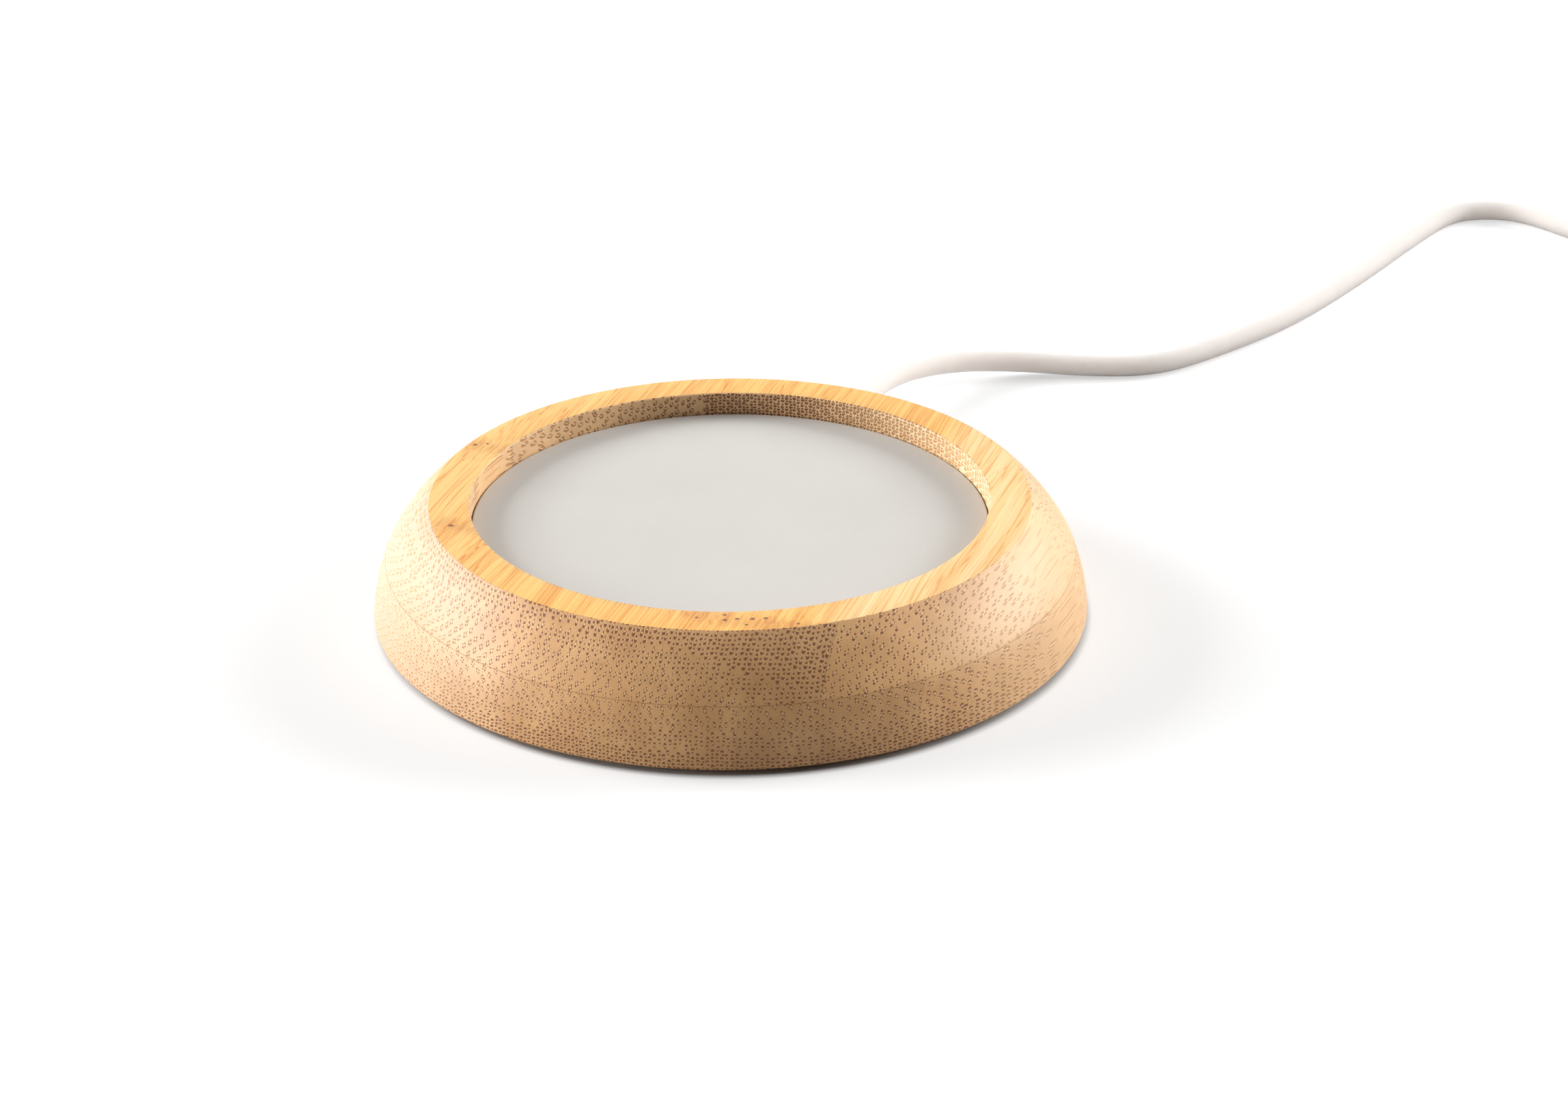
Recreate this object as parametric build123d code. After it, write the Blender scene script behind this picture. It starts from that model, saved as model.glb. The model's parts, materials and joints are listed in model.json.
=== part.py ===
from build123d import *
from math import cos, pi, radians, sin, sqrt, tan
import os

# Desk mug warmer: a bamboo ring in two glued plies round a sunk aluminium heating plate, fed by a thin lead.
# Millimetres. Origin on the surface it stands on, under the middle of the ring. +Z up, lead leaving towards +Y.

# ---- Heating plate and the bamboo round it: each radius is worked out from the plate outwards ----
PLATE_RADIUS = 35.95
PLATE_THICKNESS = 2.0
PLATE_EDGE_ROUND = 0.3
PLATE_GAP = 0.15            # between the plate's edge and the bamboo
RECESS_DEPTH = 3.23         # plate below the rim
RIM_WIDTH = 5.7             # flat top of the bamboo
UPPER_FLARE = 6.3           # how much wider the glue line is than the rim
LOWER_FLARE = 1.9           # how much wider the underside is than the glue line
UPPER_BULGE = 0.545         # bow of the upper side out of its straight chord
LOWER_BULGE = 0.385
RIM_ROUND = 0.3
UNDERSIDE_ROUND = 0.4
SHOULDER_WIDTH = 3.6        # ledge under the plate's edge
SHOULDER_THICKNESS = 2.57

# ---- Lead ----
CORD_DIAMETER = 3.5
EXIT_NOSE = 9.0             # strain relief outside the ring
EXIT_STRAIGHT = 7.0         # lead's first corner past the strain relief
SLEEVE_WALL = 0.65
COLLAR_LIP = 0.6            # collar over sleeve, inside the ring
COLLAR_THICKNESS = 1.6
CORD_HOLE_CLEARANCE = 0.05

# ---- Heater stack ----
FILM_THICKNESS = 0.3
FILM_MARGIN = 1.0           # film's edge inside the seat hole
PAD_MARGIN = 0.5            # felt's edge inside the seat hole
CARRIER_THICKNESS = 1.5
CARRIER_LAP = 5.5           # how far the carrier disc reaches under the shoulder
CARRIER_CLEARANCE = 0.6
STUD_CIRCLE = 24.0
STUD_ANGLES = (30, 150, 270)
STUD_RADIUS = 1.5
STUD_FLANGE_RADIUS = 2.25
STUD_FLANGE_THICKNESS = 0.7
STUD_END = 0.6              # thread showing past the nut
WASHER_RADIUS = 3.5
WASHER_THICKNESS = 0.5
STUD_NUT_FLATS = 5.5
STUD_NUT_HEIGHT = 2.4

# ---- Small screws for the board and the clamp ----
M2_RADIUS = 1.0
M2_HEAD_RADIUS = 1.9
M2_HEAD_HEIGHT = 1.3
M2_NUT_FLATS = 4.0
M2_NUT_HEIGHT = 1.6
THREAD_CLEARANCE = 0.05
HOLE_CLEARANCE = 0.15
NUT_POCKET_CLEARANCE = 0.3  # in the felt round a nut

# ---- Cord clamp ----
CLAMP_WALL = 1.0
CLAMP_LENGTH = 6.0
CLAMP_EAR_THICKNESS = 1.4
CLAMP_SET_BACK = 6.5        # clamp's middle behind the edge of the seat hole
BAY_CLEARANCE = 0.33        # between the clamp and the cover

# ---- Base cover ----
COVER_THICKNESS = 2.0
COVER_CLEARANCE = 0.2       # all round, in its rabbet
COVER_SCREW_COUNT = 4
COVER_SCREW_RADIUS = 1.25
COVER_SCREW_HEAD_RADIUS = 2.4
COVER_SCREW_HEAD_HEIGHT = 1.3
COVER_SCREW_BITE = 4.0      # length in the bamboo
COVER_SCREW_MARGIN = 0.8    # cover left outside the screw's head
SPIGOT_HEIGHT = 1.0         # ring on the cover that centres it in the cavity
SPIGOT_WALL = 1.2
SPIGOT_CLEARANCE = 0.25
CROSS_LENGTH = 2.6          # driver recess
CROSS_WIDTH = 0.6
CROSS_DEPTH = 0.8

# ---- Feet ----
FOOT_PROUD = 0.8            # bamboo's underside above the surface
FOOT_SEAT_DEPTH = 0.6
FOOT_RADIUS = 4.5
FOOT_CIRCLE = 33.0
FOOT_COUNT = 4
FOOT_ROUND = 0.25
FOOT_SEAT_CLEARANCE = 0.1

# ---- Control board ----
BOARD_WIDTH = 24.0
BOARD_LENGTH = 22.0
BOARD_THICKNESS = 1.0
BOARD_STUD_GAP = 4.5        # between the front stud's washer and the board
BOARD_SCREW_INSET = 2.2
SPACER_HEIGHT = 1.2
SPACER_RADIUS = 2.0
CHIP_SIZE = (4.9, 3.9, 1.4)
CHIP_PLACE = (-4.5, -1.5)   # from the board's middle
CHIP_LEG_PITCH = 1.27
CHIP_LEG_SIZE = (0.45, 1.0, 0.25)
TRANSISTOR_SIZE = (6.5, 3.5, 1.6)
TRANSISTOR_PLACE = (3.8, -4.5)
TRANSISTOR_LEG_SIZE = (0.75, 1.6, 0.3)
TRANSISTOR_LEG_PITCH = 2.3
TRANSISTOR_TAB_WIDTH = 3.0
CAPACITOR_SIZE = (3.2, 1.6, 1.5)
CAPACITOR_PLACES = ((4.5, 1.0), (4.5, 3.6), (-8.6, -5.0))
RESISTOR_SIZE = (2.0, 1.25, 0.5)
RESISTOR_PLACES = ((-6.5, 3.2), (-3.2, 3.2), (-0.2, 3.2), (-0.6, -7.6), (-3.6, -7.6))

# ---- Wires, sensor and cut-off ----
WINDOW_HALF_WIDTH = 8.0
WINDOW_HALF_LENGTH = 3.2
WINDOW_FROM_BOARD = 7.0
PAD_INSET = 1.5             # wire holes in front of the board's rear edge
WIRE_BEND = 1.3
SUPPLY_WIRE_RADIUS = 0.55
SUPPLY_WIRE_SPREAD = 1.3
HEATER_LEAD_RADIUS = 0.5
HEATER_LEAD_SPREAD = 6.6
SENSOR_LEAD_RADIUS = 0.25
SENSOR_LEAD_SPREAD = 3.6
SENSOR_SIZE = (3.4, 1.6, 1.0)
SENSOR_OFFSET = -1.6
CUTOFF_SIZE = (11.0, 2.6, 1.2)
CUTOFF_OFFSET = 1.5
CUTOFF_LEG_SIZE = (1.7, 1.4, 0.2)
JACKET_FROM_WINDOW = 5.0    # lead's cut end behind the window
SOLDER_RADIUS = 0.85
SOLDER_TIP_RADIUS = 0.4
SOLDER_HEIGHT = 0.7

# ---- Coil that holds the lead's spare length, its tie and the plug ----
COIL_CENTRE = (132.0, 129.5)
COIL_TURN_RADIUS = 20.5     # middle of the turns
COIL_ACROSS = 3             # turns side by side
COIL_LAYERS = 3
COIL_SLACK = 0.25           # room round the turns, so that they need not be perfectly even
COIL_CORNER = 1.5
COIL_ENTRY_ANGLE = 57.0
COIL_EXIT_ANGLE = -15.0
COIL_STUB = 13.5            # straight lead-in and lead-out of the coil
COIL_APPROACH = 8.0         # lead's nearest corner from the end of a stub
TIE_ANGLE = 20.0
TIE_WIDTH = 4.0
TIE_THICKNESS = 1.0
TIE_PROUD = 0.4             # tie over the coil's outside
TIE_HEAD = (4.0, 5.5, 4.0)
PLUG_WIDTH = 15.8
PLUG_HEIGHT = 8.0
PLUG_LENGTH = 25.0
PLUG_ROUND = 2.0
PLUG_APPROACH = 8.0         # lead's nearest corner from the plug
PLUG_RELIEF_LENGTH = 12.0
PLUG_RELIEF_RADIUS = 3.0
PLUG_RELIEF_TIP_WALL = 0.45
SHELL_WIDTH = 12.0
SHELL_HEIGHT = 4.5
SHELL_LENGTH = 12.0
SHELL_WALL = 0.3
SHELL_ROUND = 0.5
SHELL_WINDOW = 2.2
SHELL_WINDOW_SPREAD = 2.7
SHELL_WINDOW_SET_BACK = 5.2
TONGUE_THICKNESS = 1.9
TONGUE_SET_BACK = 0.4
CONTACT_COUNT = 4
CONTACT_PITCH = 2.3
CONTACT_SIZE = (1.1, 8.0, 0.15)

# ---- Levels, upwards from the surface ----
CORD_RADIUS = CORD_DIAMETER / 2
Z_UNDERSIDE = FOOT_PROUD
Z_LEDGE = Z_UNDERSIDE + COVER_THICKNESS
Z_CARRIER = Z_LEDGE + BAY_CLEARANCE + CLAMP_WALL + CORD_DIAMETER
Z_GLUE = Z_CARRIER + CARRIER_THICKNESS
Z_SEAT = Z_GLUE + SHOULDER_THICKNESS
Z_FILM = Z_SEAT - FILM_THICKNESS
Z_PLATE = Z_SEAT + PLATE_THICKNESS
Z_RIM = Z_PLATE + RECESS_DEPTH
Z_CORD = Z_CARRIER - CORD_RADIUS
Z_BOARD = Z_CARRIER - SPACER_HEIGHT
Z_PARTS = Z_BOARD - BOARD_THICKNESS
Z_WIRES = (Z_CARRIER + Z_BOARD) / 2

# ---- Radii, outwards from the plate ----
BORE_RADIUS = PLATE_RADIUS + PLATE_GAP
RIM_RADIUS = BORE_RADIUS + RIM_WIDTH
GLUE_RADIUS = RIM_RADIUS + UPPER_FLARE
BASE_RADIUS = GLUE_RADIUS + LOWER_FLARE
SEAT_HOLE_RADIUS = BORE_RADIUS - SHOULDER_WIDTH
CARRIER_RADIUS = SEAT_HOLE_RADIUS + CARRIER_LAP
CAVITY_RADIUS = CARRIER_RADIUS + CARRIER_CLEARANCE
COVER_SCREW_CIRCLE = CAVITY_RADIUS + COVER_SCREW_MARGIN + COVER_SCREW_HEAD_RADIUS
COVER_RADIUS = COVER_SCREW_CIRCLE + COVER_SCREW_HEAD_RADIUS + COVER_SCREW_MARGIN
SLEEVE_RADIUS = CORD_RADIUS + SLEEVE_WALL
COLLAR_RADIUS = SLEEVE_RADIUS + COLLAR_LIP

# ---- Places along the lead's line, from the middle towards the back ----
BOARD_MIDDLE = -STUD_CIRCLE + WASHER_RADIUS + BOARD_STUD_GAP + BOARD_LENGTH / 2
BOARD_REAR = BOARD_MIDDLE + BOARD_LENGTH / 2
WIRE_HOLES_Y = BOARD_REAR - PAD_INSET
WINDOW_Y = BOARD_REAR + WINDOW_FROM_BOARD
JACKET_END_Y = WINDOW_Y + JACKET_FROM_WINDOW
CLAMP_Y = SEAT_HOLE_RADIUS - CLAMP_SET_BACK
COLLAR_BACK_Y = sqrt(CAVITY_RADIUS**2 - COLLAR_RADIUS**2) - CORD_HOLE_CLEARANCE
CLAMP_SCREW_SPREAD = CORD_RADIUS + CLAMP_WALL + M2_HEAD_RADIUS + HOLE_CLEARANCE
EAR_END = CLAMP_SCREW_SPREAD + M2_HEAD_RADIUS + HOLE_CLEARANCE

# ---- The lead on the surface: corners of its route, chosen by hand, between its first and last straight ----
ROUTE = (
    (2.2, 77.0, 5.1),
    (8.2, 87.0, 3.7),
    (17.5, 93.4, 2.3),
    (28.8, 96.0, 1.75),
    (38.6, 99.6, 1.75),
    (46.0, 110.0, 1.75),
    (54.6, 125.5, 1.75),
    (61.8, 147.0, 1.75),
    (67.6, 168.5, 1.75),
    (72.1, 183.2, 1.75),
    (78.1, 187.7, 1.75),
    (85.4, 188.0, 1.75),
    (94.4, 181.9, 1.75),
    (110.0, 172.6, 1.75),
)
PLUG_REAR = (147.3, 81.0)   # where the lead enters the plug's strain relief
PLUG_HEADING = -94.0        # degrees from +X

NODES = {}


def disc(radius, low, high, centre=(0.0, 0.0)):
    """Upright cylinder between two levels."""
    return Pos(centre[0], centre[1], (low + high) / 2) * Cylinder(radius, high - low)


def block(size, low, centre=(0.0, 0.0)):
    """Box of the given X, Y and Z sizes that stands at a level."""
    return Pos(centre[0], centre[1], low + size[2] / 2) * Box(*size)


def round_bar(radius, near, far):
    """Bar along the lead's line through the wall, between two Y places."""
    return Pos(0, (near + far) / 2, Z_CORD) * Rot(90, 0, 0) * Cylinder(radius, far - near)


def ring_of_points(radius, angles):
    """Points at one radius, at the given angles in degrees."""
    return [(radius * cos(radians(a)), radius * sin(radians(a))) for a in angles]


def even_angles(count, first):
    return [first + 360 * i / count for i in range(count)]


def edges_at(shape, level):
    """Circular edges that lie at one level."""
    return [e for e in shape.edges() if e.geom_type == GeomType.CIRCLE and abs(e.center().Z - level) < 1e-3]


def outermost(edges):
    return max(edges, key=lambda e: e.radius)


def cut_all(shape, tools):
    for tool in tools:
        shape -= tool
    return shape


def keep(node, *solids):
    """Set a node aside for export, with each physical piece as a solid of its own."""
    pieces = [piece for solid in solids for piece in solid.solids()]
    NODES[node] = pieces[0] if len(pieces) == 1 else Compound(pieces)


# ---- Bamboo ----

def side_arc(low, high, bulge):
    """Side of a ply: an arc from low to high, bowed outwards by bulge."""
    outward = Vector(high.Z - low.Z, 0, low.X - high.X).normalized()
    return ThreePointArc(low, (low + high) / 2 + outward * bulge, high)


def turned_ring(corners, bulge):
    """Ring turned from a profile whose first two corners are its bowed outer side."""
    points = [Vector(x, 0, z) for x, z in corners]
    side = side_arc(points[0], points[1], bulge)
    rest = Polyline(*points[1:], points[0])
    return revolve(Face(Wire(side.edges() + rest.edges())), Axis.Z)


def bamboo_upper_ring():
    ring = turned_ring(
        (
            (GLUE_RADIUS, Z_GLUE),
            (RIM_RADIUS, Z_RIM),
            (BORE_RADIUS, Z_RIM),
            (BORE_RADIUS, Z_SEAT),
            (SEAT_HOLE_RADIUS, Z_SEAT),
            (SEAT_HOLE_RADIUS, Z_GLUE),
        ),
        UPPER_BULGE,
    )
    return fillet(edges_at(ring, Z_RIM), RIM_ROUND)


def bamboo_lower_ring():
    rabbet_radius = COVER_RADIUS + COVER_CLEARANCE
    ring = turned_ring(
        (
            (BASE_RADIUS, Z_UNDERSIDE),
            (GLUE_RADIUS, Z_GLUE),
            (CAVITY_RADIUS, Z_GLUE),
            (CAVITY_RADIUS, Z_LEDGE),
            (rabbet_radius, Z_LEDGE),
            (rabbet_radius, Z_UNDERSIDE),
        ),
        LOWER_BULGE,
    )
    ring = fillet([outermost(edges_at(ring, Z_UNDERSIDE))], UNDERSIDE_ROUND)
    ring -= round_bar(SLEEVE_RADIUS + CORD_HOLE_CLEARANCE, CAVITY_RADIUS / 2, BASE_RADIUS + EXIT_NOSE)
    pilot = COVER_SCREW_RADIUS + THREAD_CLEARANCE
    tip = Z_LEDGE + COVER_SCREW_BITE + THREAD_CLEARANCE
    return cut_all(ring, [disc(pilot, Z_UNDERSIDE, tip, place) for place in cover_screw_places()])


# ---- Heater stack ----

def stud_places():
    return ring_of_points(STUD_CIRCLE, STUD_ANGLES)


def heating_plate():
    plate = disc(PLATE_RADIUS, Z_SEAT, Z_PLATE)
    return fillet(edges_at(plate, Z_PLATE), PLATE_EDGE_ROUND)


def plate_stud(place):
    """Weld stud: a low flange on the plate and a thread down through the stack."""
    end = Z_CARRIER - WASHER_THICKNESS - STUD_NUT_HEIGHT - STUD_END
    flange = disc(STUD_FLANGE_RADIUS, Z_SEAT - STUD_FLANGE_THICKNESS, Z_SEAT, place)
    thread = disc(STUD_RADIUS, end, Z_SEAT - STUD_FLANGE_THICKNESS, place)
    return flange + thread


def stud_flange_holes(low, high):
    radius = STUD_FLANGE_RADIUS + HOLE_CLEARANCE
    return [disc(radius, low, high, place) for place in stud_places()]


def heating_film():
    film = disc(SEAT_HOLE_RADIUS - FILM_MARGIN, Z_FILM, Z_SEAT)
    return cut_all(film, stud_flange_holes(Z_FILM, Z_SEAT))


def wire_window(low, high):
    """Opening for the wires, the sensor and the cut-off."""
    return block((2 * WINDOW_HALF_WIDTH, 2 * WINDOW_HALF_LENGTH, high - low), low, (0, WINDOW_Y))


def insulation_pad():
    pad = disc(SEAT_HOLE_RADIUS - PAD_MARGIN, Z_GLUE, Z_FILM)
    pad = cut_all(pad, stud_flange_holes(Z_GLUE, Z_FILM))
    pocket = M2_NUT_FLATS / sqrt(3) + NUT_POCKET_CLEARANCE
    nuts = board_screw_places() + clamp_screw_places()
    pad = cut_all(pad, [disc(pocket, Z_GLUE, Z_FILM, place) for place in nuts])
    return pad - wire_window(Z_GLUE, Z_FILM)


def carrier_disc():
    """Disc that the stud nuts pull up against the shoulder, with a notch for the strain relief's collar."""
    carrier = disc(CARRIER_RADIUS, Z_CARRIER, Z_GLUE)
    stud_hole = STUD_RADIUS + HOLE_CLEARANCE
    screw_hole = M2_RADIUS + HOLE_CLEARANCE
    carrier = cut_all(carrier, [disc(stud_hole, Z_CARRIER, Z_GLUE, place) for place in stud_places()])
    screws = board_screw_places() + clamp_screw_places()
    carrier = cut_all(carrier, [disc(screw_hole, Z_CARRIER, Z_GLUE, place) for place in screws])
    notch_front = COLLAR_BACK_Y - COLLAR_THICKNESS - CARRIER_CLEARANCE
    notch_width = 2 * (COLLAR_RADIUS + CARRIER_CLEARANCE)
    notch_length = 2 * (CARRIER_RADIUS - notch_front)
    carrier -= block((notch_width, notch_length, CARRIER_THICKNESS), Z_CARRIER, (0, CARRIER_RADIUS))
    return carrier - wire_window(Z_CARRIER, Z_GLUE)


def hex_nut(place, flats, height, thread_radius, low):
    """Nut with its hole, standing at a level."""
    corner = flats / sqrt(3)
    body = extrude(RegularPolygon(corner, 6), height) - Cylinder(thread_radius + THREAD_CLEARANCE, 3 * height)
    return Pos(place[0], place[1], low) * body


def stud_washer(place):
    low = Z_CARRIER - WASHER_THICKNESS
    return disc(WASHER_RADIUS, low, Z_CARRIER, place) - disc(STUD_RADIUS + HOLE_CLEARANCE, low, Z_CARRIER, place)


def stud_nut(place):
    low = Z_CARRIER - WASHER_THICKNESS - STUD_NUT_HEIGHT
    return hex_nut(place, STUD_NUT_FLATS, STUD_NUT_HEIGHT, STUD_RADIUS, low)


# ---- Screws ----

def cross_recess(place, low):
    """Driver recess cut up into a head whose face is at a level."""
    arm = block((CROSS_LENGTH, CROSS_WIDTH, CROSS_DEPTH), low, place)
    return arm + block((CROSS_WIDTH, CROSS_LENGTH, CROSS_DEPTH), low, place)


def m2_screw(place, head_top, tip):
    """Pan head below head_top, thread up to tip."""
    low = head_top - M2_HEAD_HEIGHT
    head = disc(M2_HEAD_RADIUS, low, head_top, place)
    head = fillet([outermost(edges_at(head, low))], M2_HEAD_HEIGHT / 2)
    return head + disc(M2_RADIUS, head_top, tip, place) - cross_recess(place, low)


def m2_nut(place):
    return hex_nut(place, M2_NUT_FLATS, M2_NUT_HEIGHT, M2_RADIUS, Z_GLUE)


def m2_tip():
    return Z_GLUE + M2_NUT_HEIGHT


def cover_screw_places():
    return ring_of_points(COVER_SCREW_CIRCLE, even_angles(COVER_SCREW_COUNT, 45))


def countersink(place, radius, clearance):
    """Cone of a countersunk head, flush with the cover's outside."""
    height = COVER_SCREW_HEAD_HEIGHT
    cone = Cone(COVER_SCREW_HEAD_RADIUS + clearance, radius + clearance, height)
    return Pos(place[0], place[1], Z_UNDERSIDE + height / 2) * cone


def cover_screw(place):
    shank = disc(COVER_SCREW_RADIUS, Z_UNDERSIDE + COVER_SCREW_HEAD_HEIGHT, Z_LEDGE + COVER_SCREW_BITE, place)
    return countersink(place, COVER_SCREW_RADIUS, 0) + shank - cross_recess(place, Z_UNDERSIDE)


# ---- Control board ----

def board_screw_places():
    x = BOARD_WIDTH / 2 - BOARD_SCREW_INSET
    y = BOARD_LENGTH / 2 - BOARD_SCREW_INSET
    return [(sx * x, BOARD_MIDDLE + sy * y) for sx in (-1, 1) for sy in (-1, 1)]


def wire_spreads():
    """Across the board: the pair of places of each of the three wire pairs, and the wire's radius."""
    return (
        (SUPPLY_WIRE_SPREAD, SUPPLY_WIRE_RADIUS),
        (SENSOR_LEAD_SPREAD, SENSOR_LEAD_RADIUS),
        (HEATER_LEAD_SPREAD, HEATER_LEAD_RADIUS),
    )


def wire_holes():
    return [((side * x, WIRE_HOLES_Y), radius) for x, radius in wire_spreads() for side in (-1, 1)]


def control_board():
    board = block((BOARD_WIDTH, BOARD_LENGTH, BOARD_THICKNESS), Z_PARTS, (0, BOARD_MIDDLE))
    screw_hole = M2_RADIUS + HOLE_CLEARANCE
    board = cut_all(board, [disc(screw_hole, Z_PARTS, Z_BOARD, place) for place in board_screw_places()])
    return cut_all(board, [disc(r + THREAD_CLEARANCE, Z_PARTS, Z_BOARD, place) for place, r in wire_holes()])


def board_spacer(place):
    outer = disc(SPACER_RADIUS, Z_BOARD, Z_CARRIER, place)
    return outer - disc(M2_RADIUS + THREAD_CLEARANCE, Z_BOARD, Z_CARRIER, place)


def on_board(size, place):
    """A part soldered under the board, at a place counted from the board's middle."""
    return block(size, Z_PARTS - size[2], (place[0], BOARD_MIDDLE + place[1]))


def chip_legs():
    """Four legs on each long side of the chip, flat on the board."""
    rows = []
    for side in (-1, 1):
        y = CHIP_PLACE[1] + side * (CHIP_SIZE[1] + CHIP_LEG_SIZE[1]) / 2
        for i in range(4):
            rows.append(on_board(CHIP_LEG_SIZE, (CHIP_PLACE[0] + (i - 1.5) * CHIP_LEG_PITCH, y)))
    return rows


def transistor_legs():
    """Three narrow legs on one side and the wide tab on the other."""
    reach = (TRANSISTOR_SIZE[1] + TRANSISTOR_LEG_SIZE[1]) / 2
    x, y = TRANSISTOR_PLACE
    tab_size = (TRANSISTOR_TAB_WIDTH, TRANSISTOR_LEG_SIZE[1], TRANSISTOR_LEG_SIZE[2])
    legs = [on_board(TRANSISTOR_LEG_SIZE, (x + i * TRANSISTOR_LEG_PITCH, y - reach)) for i in (-1, 0, 1)]
    return legs + [on_board(tab_size, (x, y + reach))]


def solder_joint(place):
    cone = Cone(SOLDER_TIP_RADIUS, SOLDER_RADIUS, SOLDER_HEIGHT)
    return Pos(place[0], place[1], Z_PARTS - SOLDER_HEIGHT / 2) * cone


# ---- Wires ----

def wire(points, radius, bend):
    """Round wire along straight runs joined by arcs."""
    path = FilletPolyline(*points, radius=bend)
    return sweep(Plane(path @ 0, z_dir=path % 0) * Circle(radius), path=path)


def down_to_board(x, start):
    """Corners of a wire that runs forward above the board and down through its hole."""
    return [start, (x, start[1], Z_WIRES), (x, WIRE_HOLES_Y, Z_WIRES), (x, WIRE_HOLES_Y, Z_PARTS)]


def heater_leads():
    """One lead from the film itself and one from the cut-off's far leg."""
    x = HEATER_LEAD_SPREAD
    bend = min(WIRE_BEND, (Z_WIRES - Z_PARTS) / 2)
    film_start = (-x, WINDOW_Y + SENSOR_OFFSET, Z_FILM)
    leg_start = (x, WINDOW_Y + CUTOFF_OFFSET, Z_FILM - CUTOFF_LEG_SIZE[2])
    return [
        wire(down_to_board(-x, film_start), HEATER_LEAD_RADIUS, bend),
        wire(down_to_board(x, leg_start), HEATER_LEAD_RADIUS, bend),
    ]


def sensor_leads():
    """From each end of the sensor outwards, down and forward to the board."""
    level = Z_FILM - SENSOR_SIZE[2] / 2
    bend = min(WIRE_BEND, (Z_WIRES - Z_PARTS) / 2, (SENSOR_LEAD_SPREAD - SENSOR_SIZE[0] / 2) / 2)
    y = WINDOW_Y + SENSOR_OFFSET
    leads = []
    for side in (-1, 1):
        start = (side * SENSOR_SIZE[0] / 2, y, level)
        points = [start] + down_to_board(side * SENSOR_LEAD_SPREAD, (side * SENSOR_LEAD_SPREAD, y, level))
        leads.append(wire(points, SENSOR_LEAD_RADIUS, bend))
    return leads


def supply_wire(side):
    """From the lead's cut end up into the gap above the board, then down through its hole."""
    x = side * SUPPLY_WIRE_SPREAD
    start = (side * CORD_RADIUS / 2, JACKET_END_Y, Z_CORD)
    points = [start, (start[0], JACKET_END_Y - 2 * WIRE_BEND, Z_CORD), (x, WINDOW_Y - WINDOW_HALF_LENGTH, Z_WIRES)]
    points += [(x, WIRE_HOLES_Y, Z_WIRES), (x, WIRE_HOLES_Y, Z_PARTS)]
    return wire(points, SUPPLY_WIRE_RADIUS, min(WIRE_BEND, (Z_WIRES - Z_PARTS) / 2))


def temperature_sensor():
    return block(SENSOR_SIZE, Z_FILM - SENSOR_SIZE[2], (0, WINDOW_Y + SENSOR_OFFSET))


def thermal_cutoff():
    return block(CUTOFF_SIZE, Z_FILM - CUTOFF_SIZE[2], (0, WINDOW_Y + CUTOFF_OFFSET))


def cutoff_legs():
    x = (CUTOFF_SIZE[0] + CUTOFF_LEG_SIZE[0]) / 2
    low = Z_FILM - CUTOFF_LEG_SIZE[2]
    return [block(CUTOFF_LEG_SIZE, low, (side * x, WINDOW_Y + CUTOFF_OFFSET)) for side in (-1, 1)]


# ---- Lead inside the ring and through its wall ----

def clamp_screw_places():
    return [(side * CLAMP_SCREW_SPREAD, CLAMP_Y) for side in (-1, 1)]


def cord_clamp():
    """Saddle under the lead, with an ear each side against the carrier disc."""
    ears = block((2 * EAR_END, CLAMP_LENGTH, CLAMP_EAR_THICKNESS), Z_CARRIER - CLAMP_EAR_THICKNESS, (0, CLAMP_Y))
    front, back = CLAMP_Y - CLAMP_LENGTH / 2, CLAMP_Y + CLAMP_LENGTH / 2
    outer = CORD_RADIUS + CLAMP_WALL
    saddle = round_bar(outer, front, back)
    saddle += block((2 * outer, CLAMP_LENGTH, Z_CARRIER - Z_CORD), Z_CORD, (0, CLAMP_Y))
    saddle -= block((2 * outer, CLAMP_LENGTH, outer), Z_CARRIER, (0, CLAMP_Y))
    channel = round_bar(CORD_RADIUS, front, back)
    channel += block((CORD_DIAMETER, CLAMP_LENGTH, Z_CARRIER - Z_CORD), Z_CORD, (0, CLAMP_Y))
    screw_hole = M2_RADIUS + HOLE_CLEARANCE
    clamp = ears + saddle - channel
    low = Z_CARRIER - CLAMP_EAR_THICKNESS
    return cut_all(clamp, [disc(screw_hole, low, Z_CARRIER, place) for place in clamp_screw_places()])


def nose_tip_y():
    return BASE_RADIUS + EXIT_NOSE


def strain_relief():
    """Moulded sleeve: a collar inside the wall, a plain length through it and a tapered nose outside."""
    sleeve = round_bar(SLEEVE_RADIUS, COLLAR_BACK_Y - COLLAR_THICKNESS, BASE_RADIUS)
    collar = round_bar(COLLAR_RADIUS, COLLAR_BACK_Y - COLLAR_THICKNESS, COLLAR_BACK_Y)
    tip_radius = CORD_RADIUS + SLEEVE_WALL / 2
    nose = Cone(SLEEVE_RADIUS, tip_radius, EXIT_NOSE)
    nose = Pos(0, BASE_RADIUS + EXIT_NOSE / 2, Z_CORD) * Rot(-90, 0, 0) * nose
    return sleeve + collar + nose - round_bar(CORD_RADIUS, 0, nose_tip_y())


def cord_inner_end():
    return round_bar(CORD_RADIUS, JACKET_END_Y, nose_tip_y())


# ---- Base ----

def foot_places():
    return ring_of_points(FOOT_CIRCLE, even_angles(FOOT_COUNT, 0))


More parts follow.
